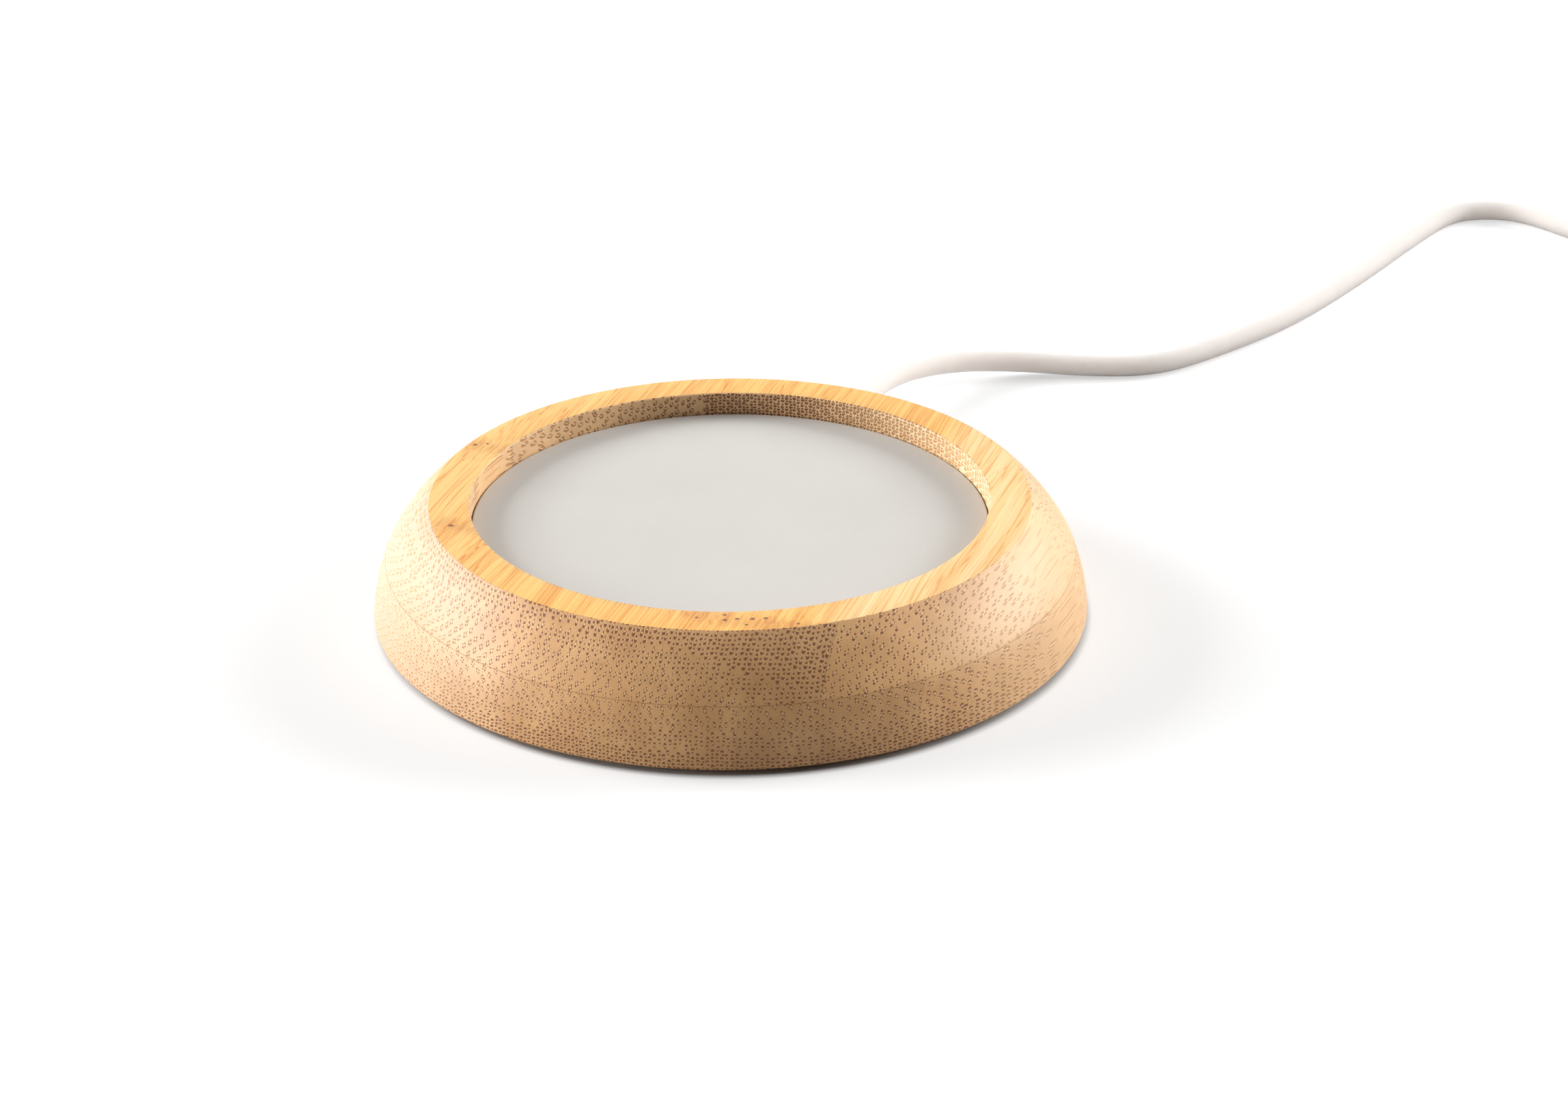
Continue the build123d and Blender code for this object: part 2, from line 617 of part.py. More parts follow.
def base_cover():
    """Disc in the ring's rabbet, with a low spigot inside, countersunk screw holes and shallow foot seats."""
    cover = disc(COVER_RADIUS, Z_UNDERSIDE, Z_LEDGE)
    spigot_outer = CAVITY_RADIUS - SPIGOT_CLEARANCE
    top = Z_LEDGE + SPIGOT_HEIGHT
    spigot = disc(spigot_outer, Z_LEDGE, top) - disc(spigot_outer - SPIGOT_WALL, Z_LEDGE, top)
    notch_width = 2 * (COLLAR_RADIUS + CARRIER_CLEARANCE)
    spigot -= block((notch_width, CAVITY_RADIUS, SPIGOT_HEIGHT), Z_LEDGE, (0, CAVITY_RADIUS))
    cover += spigot
    for place in cover_screw_places():
        cover -= disc(COVER_SCREW_RADIUS + HOLE_CLEARANCE, Z_UNDERSIDE, Z_LEDGE, place)
        cover -= countersink(place, COVER_SCREW_RADIUS, THREAD_CLEARANCE)
    seat = FOOT_RADIUS + FOOT_SEAT_CLEARANCE
    return cut_all(cover, [disc(seat, Z_UNDERSIDE, Z_UNDERSIDE + FOOT_SEAT_DEPTH, place) for place in foot_places()])


def rubber_foot(place):
    foot = disc(FOOT_RADIUS, 0, Z_UNDERSIDE + FOOT_SEAT_DEPTH, place)
    return fillet(edges_at(foot, 0), FOOT_ROUND)


# ---- Lead outside the ring ----

def corner_radii(points):
    """For each corner of a route, the largest arc that its two runs allow with room to spare."""
    radii = []
    for before, corner, after in zip(points, points[1:], points[2:]):
        first, second = Vector(corner) - Vector(before), Vector(after) - Vector(corner)
        half_turn = radians(first.get_angle(second)) / 2
        radii.append(0.45 * min(first.length, second.length) / tan(half_turn))
    return radii


def cord_tube(name, points):
    radii = corner_radii(points)
    path = FilletPolyline(*points, radius=radii)
    tube = sweep(Plane(path @ 0, z_dir=path % 0) * Circle(CORD_RADIUS), path=path)
    expected = pi * CORD_RADIUS**2 * path.length
    print(name, "radii", [round(r, 1) for r in radii])
    print(name, "length", round(path.length, 1), "volume over section x length", round(tube.volume / expected, 4))
    return tube


def coil_point(angle, radius, along, level):
    """Point by the coil at an angle, moved along the lead's direction there, which is clockwise."""
    a = radians(angle)
    x = COIL_CENTRE[0] + radius * cos(a) + along * sin(a)
    y = COIL_CENTRE[1] + radius * sin(a) - along * cos(a)
    return (x, y, level)


def coil_outer_turn():
    return COIL_TURN_RADIUS + (COIL_ACROSS - 1) * CORD_DIAMETER / 2


def coil_layer_rise():
    """Rise from one layer of turns to the next, where each turn lies in the groove of two."""
    return CORD_DIAMETER * sqrt(3) / 2


def coil_low_level():
    return CORD_RADIUS + COIL_SLACK


def coil_top_level():
    return coil_low_level() + (COIL_LAYERS - 1) * coil_layer_rise()


def coil_entry(before):
    """Point of the lead where it meets the coil's first straight, or some way before it."""
    return coil_point(COIL_ENTRY_ANGLE, coil_outer_turn(), -COIL_STUB - before, coil_low_level())


def coil_exit(after):
    return coil_point(COIL_EXIT_ANGLE, coil_outer_turn(), COIL_STUB + after, coil_top_level())


def plug_rear(before):
    """Point of the lead where it meets the plug, or some way before it."""
    a = radians(PLUG_HEADING)
    return (PLUG_REAR[0] - before * cos(a), PLUG_REAR[1] - before * sin(a), PLUG_HEIGHT / 2)


def coil_box():
    """Inner radius, outer radius and height of the wound coil."""
    half = COIL_ACROSS * CORD_DIAMETER / 2 + COIL_SLACK
    return COIL_TURN_RADIUS - half, COIL_TURN_RADIUS + half, coil_top_level() + CORD_RADIUS + COIL_SLACK


def coil_stub(angle, start, end, level):
    """Straight bar of lead beside the coil, between two places along its direction."""
    low = Vector(*coil_point(angle, coil_outer_turn(), start, level))
    high = Vector(*coil_point(angle, coil_outer_turn(), end, level))
    return extrude(Plane(low, z_dir=high - low) * Circle(CORD_RADIUS), (high - low).length)


def cable_tie():
    """Loop pulled tight round the coil's turns, flat on the surface, with its lock on the outside."""
    inner, outer, height = coil_box()
    middle = (inner + outer) / 2
    width = outer - inner + 2 * TIE_PROUD
    top = height + TIE_PROUD
    loop = Pos(middle, 0, top / 2) * Box(width, TIE_WIDTH, top)
    loop -= Pos(middle, 0, top / 2) * Box(width - 2 * TIE_THICKNESS, TIE_WIDTH, top - 2 * TIE_THICKNESS)
    lock = Pos(outer + TIE_PROUD + TIE_HEAD[0] / 2, 0, top / 2) * Box(*TIE_HEAD)
    return Pos(COIL_CENTRE[0], COIL_CENTRE[1], 0) * Rot(0, 0, TIE_ANGLE) * (loop + lock)


def cord_coil(tie):
    """Outer shape of the wound coil, nipped in under the tie, with a straight end where the lead comes and goes."""
    inner, outer, height = coil_box()
    ring = disc(outer, 0, height) - disc(inner, 0, height)
    ring = fillet(ring.edges().filter_by(GeomType.CIRCLE), COIL_CORNER)
    coil = Pos(COIL_CENTRE[0], COIL_CENTRE[1], 0) * ring
    coil += coil_stub(COIL_ENTRY_ANGLE, -COIL_STUB, 0, coil_low_level())
    coil += coil_stub(COIL_EXIT_ANGLE, 0, COIL_STUB, coil_top_level())
    return coil - tie


# ---- Plug: its own frame has +Y along the plug and the lead's end at the origin ----

def place_plug(shape):
    return Pos(PLUG_REAR[0], PLUG_REAR[1], PLUG_HEIGHT / 2) * Rot(0, 0, PLUG_HEADING - 90) * shape


def plug_strain_relief():
    tip = CORD_RADIUS + PLUG_RELIEF_TIP_WALL
    cone = Cone(tip, PLUG_RELIEF_RADIUS, PLUG_RELIEF_LENGTH)
    return place_plug(Pos(0, PLUG_RELIEF_LENGTH / 2, 0) * Rot(-90, 0, 0) * cone)


def usb_plug_body():
    body = Pos(0, PLUG_RELIEF_LENGTH + PLUG_LENGTH / 2, 0) * Box(PLUG_WIDTH, PLUG_LENGTH, PLUG_HEIGHT)
    body = fillet(body.edges().filter_by(Axis.Y), PLUG_ROUND)
    rear = body.faces().sort_by(Axis.Y)[0]
    return place_plug(chamfer(rear.edges(), PLUG_ROUND / 2))


def shell_start():
    return PLUG_RELIEF_LENGTH + PLUG_LENGTH


def usb_plug_shell():
    """Folded metal shell with the two square latch windows in each wide side."""
    middle = shell_start() + SHELL_LENGTH / 2
    outer = Pos(0, middle, 0) * Box(SHELL_WIDTH, SHELL_LENGTH, SHELL_HEIGHT)
    outer = fillet(outer.edges().filter_by(Axis.Y), SHELL_ROUND)
    inside = Box(SHELL_WIDTH - 2 * SHELL_WALL, SHELL_LENGTH, SHELL_HEIGHT - 2 * SHELL_WALL)
    shell = outer - Pos(0, middle, 0) * inside
    for side in (-1, 1):
        place = Pos(side * SHELL_WINDOW_SPREAD, shell_start() + SHELL_WINDOW_SET_BACK, 0)
        shell -= place * Box(SHELL_WINDOW, SHELL_WINDOW, 2 * SHELL_HEIGHT)
    return place_plug(shell)


def tongue_top():
    return SHELL_WALL + TONGUE_THICKNESS - SHELL_HEIGHT / 2


def usb_plug_tongue():
    width = SHELL_WIDTH - 2 * SHELL_WALL
    length = SHELL_LENGTH - TONGUE_SET_BACK
    place = Pos(0, shell_start() + length / 2, tongue_top() - TONGUE_THICKNESS / 2)
    return place_plug(place * Box(width, length, TONGUE_THICKNESS))


def usb_plug_contacts():
    x0 = -(CONTACT_COUNT - 1) * CONTACT_PITCH / 2
    y = shell_start() + SHELL_LENGTH / 2
    level = tongue_top() + CONTACT_SIZE[2] / 2
    return [place_plug(Pos(x0 + i * CONTACT_PITCH, y, level) * Box(*CONTACT_SIZE)) for i in range(CONTACT_COUNT)]


# ---- Assembly ----

def make_bamboo_and_base():
    keep("bamboo_upper_ring", bamboo_upper_ring())
    keep("bamboo_lower_ring", bamboo_lower_ring())
    keep("base_cover", base_cover())
    keep("cover_screws", *[cover_screw(place) for place in cover_screw_places()])
    keep("rubber_feet", *[rubber_foot(place) for place in foot_places()])


def make_heater_stack():
    keep("heating_plate", heating_plate())
    keep("plate_studs", *[plate_stud(place) for place in stud_places()])
    keep("heating_film", heating_film())
    keep("insulation_pad", insulation_pad())
    keep("carrier_disc", carrier_disc())
    keep("stud_washers", *[stud_washer(place) for place in stud_places()])
    keep("stud_nuts", *[stud_nut(place) for place in stud_places()])
    keep("temperature_sensor", temperature_sensor())
    keep("sensor_leads", *sensor_leads())
    keep("thermal_cutoff", thermal_cutoff())
    keep("cutoff_legs", *cutoff_legs())
    keep("heater_leads", *heater_leads())


def make_board():
    keep("control_board", control_board())
    keep("board_spacers", *[board_spacer(place) for place in board_screw_places()])
    keep("board_screws", *[m2_screw(place, Z_PARTS, m2_tip()) for place in board_screw_places()])
    keep("board_nuts", *[m2_nut(place) for place in board_screw_places()])
    keep("control_chip", on_board(CHIP_SIZE, CHIP_PLACE))
    keep("chip_legs", *chip_legs())
    keep("power_transistor", on_board(TRANSISTOR_SIZE, TRANSISTOR_PLACE))
    keep("transistor_legs", *transistor_legs())
    keep("ceramic_capacitors", *[on_board(CAPACITOR_SIZE, place) for place in CAPACITOR_PLACES])
    keep("chip_resistors", *[on_board(RESISTOR_SIZE, place) for place in RESISTOR_PLACES])
    keep("solder_joints", *[solder_joint(place) for place, _ in wire_holes()])


def make_lead_inside():
    keep("supply_wire_red", supply_wire(1))
    keep("supply_wire_black", supply_wire(-1))
    keep("cord_inner_end", cord_inner_end())
    keep("cord_clamp", cord_clamp())
    ear_low = Z_CARRIER - CLAMP_EAR_THICKNESS
    keep("clamp_screws", *[m2_screw(place, ear_low, m2_tip()) for place in clamp_screw_places()])
    keep("clamp_nuts", *[m2_nut(place) for place in clamp_screw_places()])
    keep("strain_relief", strain_relief())


def make_lead_outside():
    start = [(0, nose_tip_y(), Z_CORD), (0, nose_tip_y() + EXIT_STRAIGHT, Z_CORD)]
    keep("power_cord", cord_tube("power_cord", [*start, *ROUTE, coil_entry(COIL_APPROACH), coil_entry(0)]))
    tie = cable_tie()
    keep("cable_tie", tie)
    keep("cord_coil", cord_coil(tie))
    tail = [coil_exit(0), coil_exit(COIL_APPROACH), plug_rear(PLUG_APPROACH), plug_rear(0)]
    keep("cord_tail", cord_tube("cord_tail", tail))
    keep("plug_strain_relief", plug_strain_relief())
    keep("usb_plug_body", usb_plug_body())
    keep("usb_plug_shell", usb_plug_shell())
    keep("usb_plug_tongue", usb_plug_tongue())
    keep("usb_plug_contacts", *usb_plug_contacts())


make_bamboo_and_base()
make_heater_stack()
make_board()
make_lead_inside()
make_lead_outside()

os.makedirs("parts", exist_ok=True)
for node, shape in NODES.items():
    export_step(shape, f"parts/{node}.step")
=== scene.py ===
import json
from functools import partial
from math import cos, pi, radians, sin, sqrt

import bmesh
import bpy
from mathutils import Matrix, Vector


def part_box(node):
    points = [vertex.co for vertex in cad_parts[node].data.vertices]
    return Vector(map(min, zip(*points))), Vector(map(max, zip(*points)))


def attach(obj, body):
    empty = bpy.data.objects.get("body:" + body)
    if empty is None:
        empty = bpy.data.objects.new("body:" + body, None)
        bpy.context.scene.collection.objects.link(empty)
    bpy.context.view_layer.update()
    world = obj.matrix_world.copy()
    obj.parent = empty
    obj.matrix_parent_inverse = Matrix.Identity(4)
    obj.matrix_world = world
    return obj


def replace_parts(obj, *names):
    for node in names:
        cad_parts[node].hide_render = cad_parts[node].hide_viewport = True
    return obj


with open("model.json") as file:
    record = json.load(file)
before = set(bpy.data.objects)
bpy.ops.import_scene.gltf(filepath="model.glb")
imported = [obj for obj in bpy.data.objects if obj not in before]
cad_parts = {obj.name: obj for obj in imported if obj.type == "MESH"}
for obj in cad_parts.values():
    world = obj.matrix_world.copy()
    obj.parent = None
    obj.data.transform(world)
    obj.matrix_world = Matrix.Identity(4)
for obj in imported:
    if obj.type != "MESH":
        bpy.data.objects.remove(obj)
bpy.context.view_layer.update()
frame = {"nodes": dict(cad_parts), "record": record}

# Looks of a desk mug warmer: a turned bamboo ring in two glued plies, a sunk anodised plate and a thin
# white lead. Metres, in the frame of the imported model: it stands on z = 0, and its lead leaves towards +Y.

MM = 0.001

# ---- Sizes read from the frame ----
upper_low, upper_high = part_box("bamboo_upper_ring")
lower_low, lower_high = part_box("bamboo_lower_ring")
plate_low, plate_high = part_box("heating_plate")
cover_low, cover_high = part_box("base_cover")
carrier_low, carrier_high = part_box("carrier_disc")
sleeve_low, sleeve_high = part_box("strain_relief")

Z_UNDERSIDE = lower_low.z
Z_GLUE = lower_high.z
Z_SEAT = plate_low.z
Z_PLATE = plate_high.z
Z_RIM = upper_high.z
Z_EXIT = (sleeve_low.z + sleeve_high.z) / 2
BASE_RADIUS = 50 * MM
GLUE_RADIUS = upper_high.x
PLATE_RADIUS = plate_high.x

# ---- Bamboo ring and plate ----
PLATE_GAP = 0.15 * MM
RIM_WIDTH = 5.7 * MM
SHOULDER_WIDTH = 3.6 * MM       # the shoulder in the bore that the plate lies on
COVER_REBATE = 2 * MM           # how deep the base cover is let into the underside
UPPER_BULGE = 0.545 * MM
LOWER_BULGE = 0.385 * MM
RIM_ROUND = 0.3 * MM
BORE_ROUND = 0.25 * MM
GLUE_EASE = 0.05 * MM           # the edges of both plies are eased where they meet
UNDERSIDE_ROUND = 0.4 * MM
PLATE_ROUND = 0.3 * MM
CAVITY_CLEARANCE = 0.6 * MM
COVER_CLEARANCE = 0.2 * MM
CORD_HOLE_RADIUS = 2.45 * MM
RING_SEGMENTS = 360
PLATE_SEGMENTS = 240
UPPER_STEPS = 18                # steps up the bowed side of the upper ply
LOWER_STEPS = 14
SHARP_EDGE = 32                 # degrees from which an edge is drawn sharp

# ---- Lead ----
CORD_DIAMETER = 3.5 * MM
CORD_RADIUS = CORD_DIAMETER / 2
EXIT_STRAIGHT = 7 * MM
ROUTE = [                       # mm: where it comes down from the exit and lies on the surface
    (2.2, 77.0, 5.1),
    (8.2, 87.0, 3.7),
    (17.5, 93.4, 2.3),
    (28.8, 96.0, 1.75),
    (38.6, 99.6, 1.75),
    (46.0, 110.0, 1.75),
    (54.6, 125.5, 1.75),
    (61.8, 147.0, 1.75),
    (67.6, 168.5, 1.75),
    (72.1, 183.2, 1.75),
    (78.1, 187.7, 1.75),
    (85.4, 188.0, 1.75),
    (94.4, 181.9, 1.75),
    (110.0, 172.6, 1.75),
]
COIL_CENTRE = (132.0 * MM, 129.5 * MM)
COIL_MIDDLE = 20.5 * MM         # radius of the middle of its turns
COIL_ENTRY = 57.0               # degrees from +X
COIL_TRAVEL = 2592.0            # degrees, clockwise: 7.2 turns
COIL_STEP = 12.0                # degrees from one control point to the next
COIL_STUB = 13.5 * MM           # the points before and after the turns stand at shares of this from them
SLOT_STAY = 324.0               # degrees that the lead stays in one place of the coil's section
SLOT_MOVE = 44.0                # degrees in which it moves over to the next
TIE_ANGLE = 20.0
TIE_WIDTH = 4 * MM
TIE_THICKNESS = 0.45 * MM
TIE_PROUD = 0.2 * MM            # room between the turns and the tie
TIE_ROUND = 1.9 * MM
TIE_LOCK = (4 * MM, 5.5 * MM, 4 * MM)
TIE_LOCK_ROUND = 0.6 * MM
TIE_REACH = 26.0                # degrees each side of the tie in which the turns are lifted by it
PLUG_APPROACH = 8 * MM          # over this length the lead comes straight to the plug
PLUG_REAR = (147.3 * MM, 81.0 * MM)
PLUG_HEADING = -94.0            # degrees from +X
PLUG_HEIGHT = 8 * MM
PLUG_WIDTH = 15.8 * MM
PLUG_LENGTH = 25 * MM
PLUG_ROUND = 2 * MM
PLUG_RELIEF_LENGTH = 12 * MM
PLUG_RELIEF_RADIUS = 3 * MM
RIB_COUNT = 5                   # ribs of each strain relief, and finger grooves of the plug

# ---- Floor and light ----
FLOOR_RADIUS = 3
FLOOR_PAINT = "#C5C5C5"
# The floor's glow is held back along the ring's edge, painting that line of shade darker than its real
# shadow, widest to the front right. It is raised far out, painted light that lifts the coil's shadow.
FLOOR_MIDDLE = (0.5 * MM, -0.4 * MM, 0)     # where the shade under the ring is centred
OPEN_FLOOR_GLOW = 0.48          # what whitens the floor, but not the line of shade at the ring's edge
SHADOW_LIFTING_GLOW = 0.16           # what is added to that between the two distances below
FAR_FLOOR = (80 * MM, 135 * MM)
ROOM_LIGHT = 0.06
LAMP_DISTANCE = 1.8
# Each lamp: azimuth from the camera's side, counter-clockwise from above, and height in degrees, size in
# metres, and brightness as the share of full light that it gives a surface that faces it.
LAMPS = {
    "left_softbox": (-83, 8, 0.7, 0.74),
    "high_left_softbox": (-101, 25, 0.7, 0.58),
    "back_left_softbox": (-118, 24, 0.7, 0.56),
    "right_softbox": (100, 18, 0.7, 0.57),
    "back_right_softbox": (118, 24, 0.7, 0.66),
    "back_softbox": (150, 16, 0.7, 0.13),
    "top_softbox": (0, 89, 1.2, 0.15),
}

# ---- Camera ----
CAMERA_PLACE = (152.37 * MM, -442.53 * MM, 231.93 * MM)
CAMERA_HEADING = 18.085         # degrees, counter-clockwise from +Y
CAMERA_TILT = -25.587           # degrees from level
CAMERA_ROLL = -0.221
CAMERA_LENS = 85.08             # mm
SENSOR_WIDTH = 36               # mm


# ---- Shader nodes ----

def linear(hexcode):
    """The sRGB hex colour as the linear RGBA that shaders take."""
    channels = [int(hexcode[i : i + 2], 16) / 255 for i in (1, 3, 5)]
    return (*[c / 12.92 if c <= 0.04045 else ((c + 0.055) / 1.055) ** 2.4 for c in channels], 1)


def add(tree, kind, feeds=(), **settings):
    """Adds a shader node. feeds are its inputs, in order or by name: a value, a node or a node's output."""
    node = tree.nodes.new("ShaderNode" + kind)
    for name, value in settings.items():
        setattr(node, name, value)
    named = feeds.items() if isinstance(feeds, dict) else enumerate(feeds)
    usable = [s for s in node.inputs if s.enabled]
    for key, value in named:
        socket = usable[key] if isinstance(key, int) else next(s for s in usable if s.name == key)
        if isinstance(value, bpy.types.Node):
            value = next(s for s in value.outputs if s.enabled)
        if isinstance(value, bpy.types.NodeSocket):
            tree.links.new(value, socket)
        else:
            socket.default_value = value
    return node


def new_material(name):
    """Empty material, and the function that adds nodes to it."""
    material = bpy.data.materials.new(name)
    material.use_nodes = True
    material.node_tree.nodes.clear()
    return material, partial(add, material.node_tree)


def finish_material(material, node, **feeds):
    """Puts the surface shader on the material's output."""
    shader = node("BsdfPrincipled", {name.replace("_", " "): value for name, value in feeds.items()})
    node("OutputMaterial", {"Surface": shader})
    return material


def millimetres(node):
    """The place on the object, in millimetres."""
    place = node("TexCoord").outputs["Object"]
    return node("VectorMath", [place, (1 / MM, 1 / MM, 1 / MM)], operation="MULTIPLY")


def seen_directly(node):
    """1 where the camera sees it, itself or in a reflection or through glass, else 0."""
    rays = node("LightPath").outputs
    seen = node("Math", [rays["Is Camera Ray"], rays["Is Glossy Ray"]], operation="MAXIMUM")
    return node("Math", [seen, rays["Is Transmission Ray"]], operation="MAXIMUM")


# ---- Bamboo ----
# Its patterns are laid out in mm on the object. Those of a noise are given as cycles per mm.

STRIP_WIDTH = 20.45
PLY_DEPTH = 7.8
# Culm nodes that reach the rim: in which strip, counted from its ply's first joint, and at which Y.
CULM_NODES = {0: -36.2, -2: -20.6, -3: 5.2}
PORES = [                       # x, y and radius of the open pores along the nodes in the rim
    (-33.2, -20.9, 0.36),
    (-40.4, 5.4, 0.32),
    (-38.9, 6.3, 0.2),
    (8.1, -37.3, 0.24),
    (11.3, -35.5, 0.26),
    (11.8, -36.9, 0.30),
    (13.2, -36.1, 0.28),
    (15.1, -35.5, 0.32),
    (16.7, -34.8, 0.30),
    (14.9, -37.3, 0.22),
    (21.2, -35.0, 0.22),
]
# For each size of fibre bundle, from the skin inwards: spacing, height of a row, how far its outer and inner
# fibre caps stand from its middle, radius of the outer cap, of the inner cap and of the two caps on its
# flanks; then its usual lean in radians, and the shares of the strip's thickness between which it grows,
# where 0 is the strip's soft side and 1 its skin.
BUNDLES = [
    (0.60, 0.98, 0.23, 0.125, 0.150, 0.02, -0.02, 0.80, 3.00),
    (0.66, 1.00, 0.24, 0.105, 0.125, 0.04, -0.10, 0.52, 0.80),
    (0.74, 1.06, 0.25, 0.095, 0.110, 0.06, -0.20, 0.26, 0.52),
    (0.92, 1.20, 0.27, 0.100, 0.100, 0.08, -0.40, -3.00, 0.26),
]

# Colours of sanded and oiled bamboo: of its cut ends, then of its fibres seen lengthwise.
STRAW, LIGHT_STRAW = linear("#D6A067"), linear("#EAB57A")
# Painted sheen: the paler straw of the left side and that of the right side. Painted glare: the still paler
# straw of the bore's right.
SHEEN_STRAW_LEFT = linear("#DDBFA4")
SHEEN_STRAW_RIGHT, GLARE_STRAW_BORE = linear("#E4BB8A"), linear("#F0DAB4")
BUNDLE_MIDDLE = linear("#F6CFA0")
# The second cap colour is the fibre caps washed out by painted sheen and glare.
FIBRE_CAP, SHEEN_CAP = linear("#7A4418"), linear("#DBA05C")
# The second honey and amber are the rim's tones paled by painted sheen.
HONEY, SHEEN_HONEY = linear("#F4C36E"), linear("#F3D398")
AMBER, SHEEN_AMBER = linear("#ECB05A"), linear("#EFC27F")
FIBRE_LINE = linear("#D68833")
CULM_STAIN = linear("#BF7733")
GLUE_LINE = linear("#6E4425")
OPEN_PORE = linear("#6B3F22")


def bundle_marks(node, across, inward, skin_share, bore, size):
    """Cut ends of fibre bundles of one size, in staggered rows: dark fibre caps round a pale middle."""
    spacing, row_height, apart, outer_cap, inner_cap, flank_cap, lean, first, last = size
    stray = 0.2                 # how far a bundle strays from its row, as a share of its cell
    ragged = 0.08               # mm: how uneven the caps' edges are
    sway = 0.25                 # radians that one bundle leans more or less than the next

    # Every second column is half a row lower.
    column = node("Math", [across, 1 / spacing], operation="MULTIPLY")
    row = node("Math", [column, 0.5], operation="MULTIPLY")
    row = node("Math", [inward, 1 / row_height, row], operation="MULTIPLY_ADD")
    cells = node("CombineXYZ", [column, row])
    cell = node("TexVoronoi", {"Vector": cells, "Scale": 1, "Randomness": stray}, voronoi_dimensions="2D")
    chance = node("SeparateColor", [cell.outputs["Color"]]).outputs

    # Place in mm from the bundle's middle, turned by its lean.
    local = node("VectorMath", [cells, cell.outputs["Position"]], operation="SUBTRACT")
    shift, sink, _ = node("SeparateXYZ", [local]).outputs
    sink = node("Math", [shift, -0.5, sink], operation="MULTIPLY_ADD")
    local = node("CombineXYZ", [shift, sink])
    local = node("VectorMath", [local, (spacing, row_height, 0)], operation="MULTIPLY")
    uneven = {"Vector": cells, "Scale": 4 * spacing, "Detail": 1}
    uneven = node("TexNoise", uneven, noise_dimensions="2D").outputs["Color"]
    uneven = node("VectorMath", [uneven, (0.5, 0.5, 0.5)], operation="SUBTRACT")
    local = node("VectorMath", [uneven, (ragged, ragged, 0), local], operation="MULTIPLY_ADD")
    turn = node("MapRange", [chance[2], 0, 1, lean - sway, lean + sway])
    local = node("VectorRotate", {"Vector": local, "Angle": turn}, rotation_type="Z_AXIS")
    side, sink_in, _ = node("SeparateXYZ", [local]).outputs
    side = node("Math", [side], operation="ABSOLUTE")
    grown = node("MapRange", [chance[0], 0, 1, 0.85, 1.12])
    grown = node("Math", [bore, 0.35, grown], operation="MULTIPLY_ADD")

    # Outer cap: round. Inner cap: a heart that points inwards. One cap on each flank.
    halves = node("CombineXYZ", [side, sink_in])
    beyond = node("Math", [sink_in, apart], operation="SUBTRACT")
    narrow = node("Math", [beyond, 1.8, 1], operation="MULTIPLY_ADD")
    lobe = node("Math", [side, narrow, -0.42 * inner_cap], operation="MULTIPLY_ADD")
    heart = node("CombineXYZ", [lobe, beyond])
    nearest = 9.0
    for cap, middle, radius in (
        (halves, (0, -apart, 0), outer_cap),
        (halves, (0.8 * apart, 0, 0), flank_cap),
        (heart, (0, 0, 0), inner_cap),
    ):
        away = node("VectorMath", [cap, middle], operation="DISTANCE").outputs["Value"]
        away = node("Math", [away, 1 / radius], operation="MULTIPLY")
        nearest = node("Math", [nearest, away], operation="MINIMUM")
    nearest = node("Math", [nearest, grown], operation="DIVIDE")
    dark = node("MapRange", [nearest, 1.35, 0.65, 0, 1], interpolation_type="SMOOTHSTEP")
    from_middle = node("VectorMath", [local], operation="LENGTH").outputs["Value"]
    pale = [from_middle, 0.6 * apart, 0.2 * apart, 0, 1]
    pale = node("MapRange", pale, interpolation_type="SMOOTHSTEP")

    # This size grows only in its own zone of the strip's thickness, with a ragged border.
    share = node("Math", [sink, row_height / PLY_DEPTH, skin_share], operation="MULTIPLY_ADD")
    share = node("Math", [chance[1], 0.05, share], operation="MULTIPLY_ADD")
    beyond_first = node("Math", [share, first + 0.035], operation="GREATER_THAN")
    before_last = node("Math", [share, last], operation="LESS_THAN")
    present = node("Math", [beyond_first, before_last], operation="MULTIPLY")
    pale = node("Math", [pale, present], operation="MULTIPLY")
    dark = node("Math", [dark, present], operation="MULTIPLY")
    dark = node("Math", [pale, -0.5, dark], operation="MULTIPLY_ADD", use_clamp=True)
    return dark, pale


def growing_fibres(node, place, y, strip):
    """Places moved as the fibres wander and swerve, and how near, 0 to 1, they are to a culm node."""
    culm_node = 0.0
    for number, level in CULM_NODES.items():
        here = node("Math", [strip, number, 0.5], operation="COMPARE")
        away = node("Math", [y, level], operation="SUBTRACT")
        away = node("Math", [away], operation="ABSOLUTE")
        near = node("MapRange", [away, 3.2, 0.4, 0, here], interpolation_type="SMOOTHSTEP")
        culm_node = node("Math", [culm_node, near], operation="ADD")

    # Over some 35 mm across and 45 mm along they drift by up to 2 mm.
    slow = node("VectorMath", [place, (0.03, 0.022, 0.03)], operation="MULTIPLY")
    wander = node("TexNoise", {"Vector": slow, "Scale": 1, "Detail": 1}).outputs["Color"]
    wander = node("VectorMath", [wander, (0.5, 0.5, 0.5)], operation="SUBTRACT")
    fibres = node("VectorMath", [wander, (5, 0, 4), place], operation="MULTIPLY_ADD")
    swerve = node("TexNoise", {"Vector": place, "Scale": 0.4, "Detail": 0}).outputs["Color"]
    swerve = node("VectorMath", [swerve, (0.5, 0.5, 0.5)], operation="SUBTRACT")
    reach = node("CombineXYZ", [culm_node, 0, culm_node])
    swerve = node("VectorMath", [swerve, reach], operation="MULTIPLY")
    fibres = node("VectorMath", [swerve, (0.35, 0, 0.6), fibres], operation="MULTIPLY_ADD")
    return fibres, culm_node


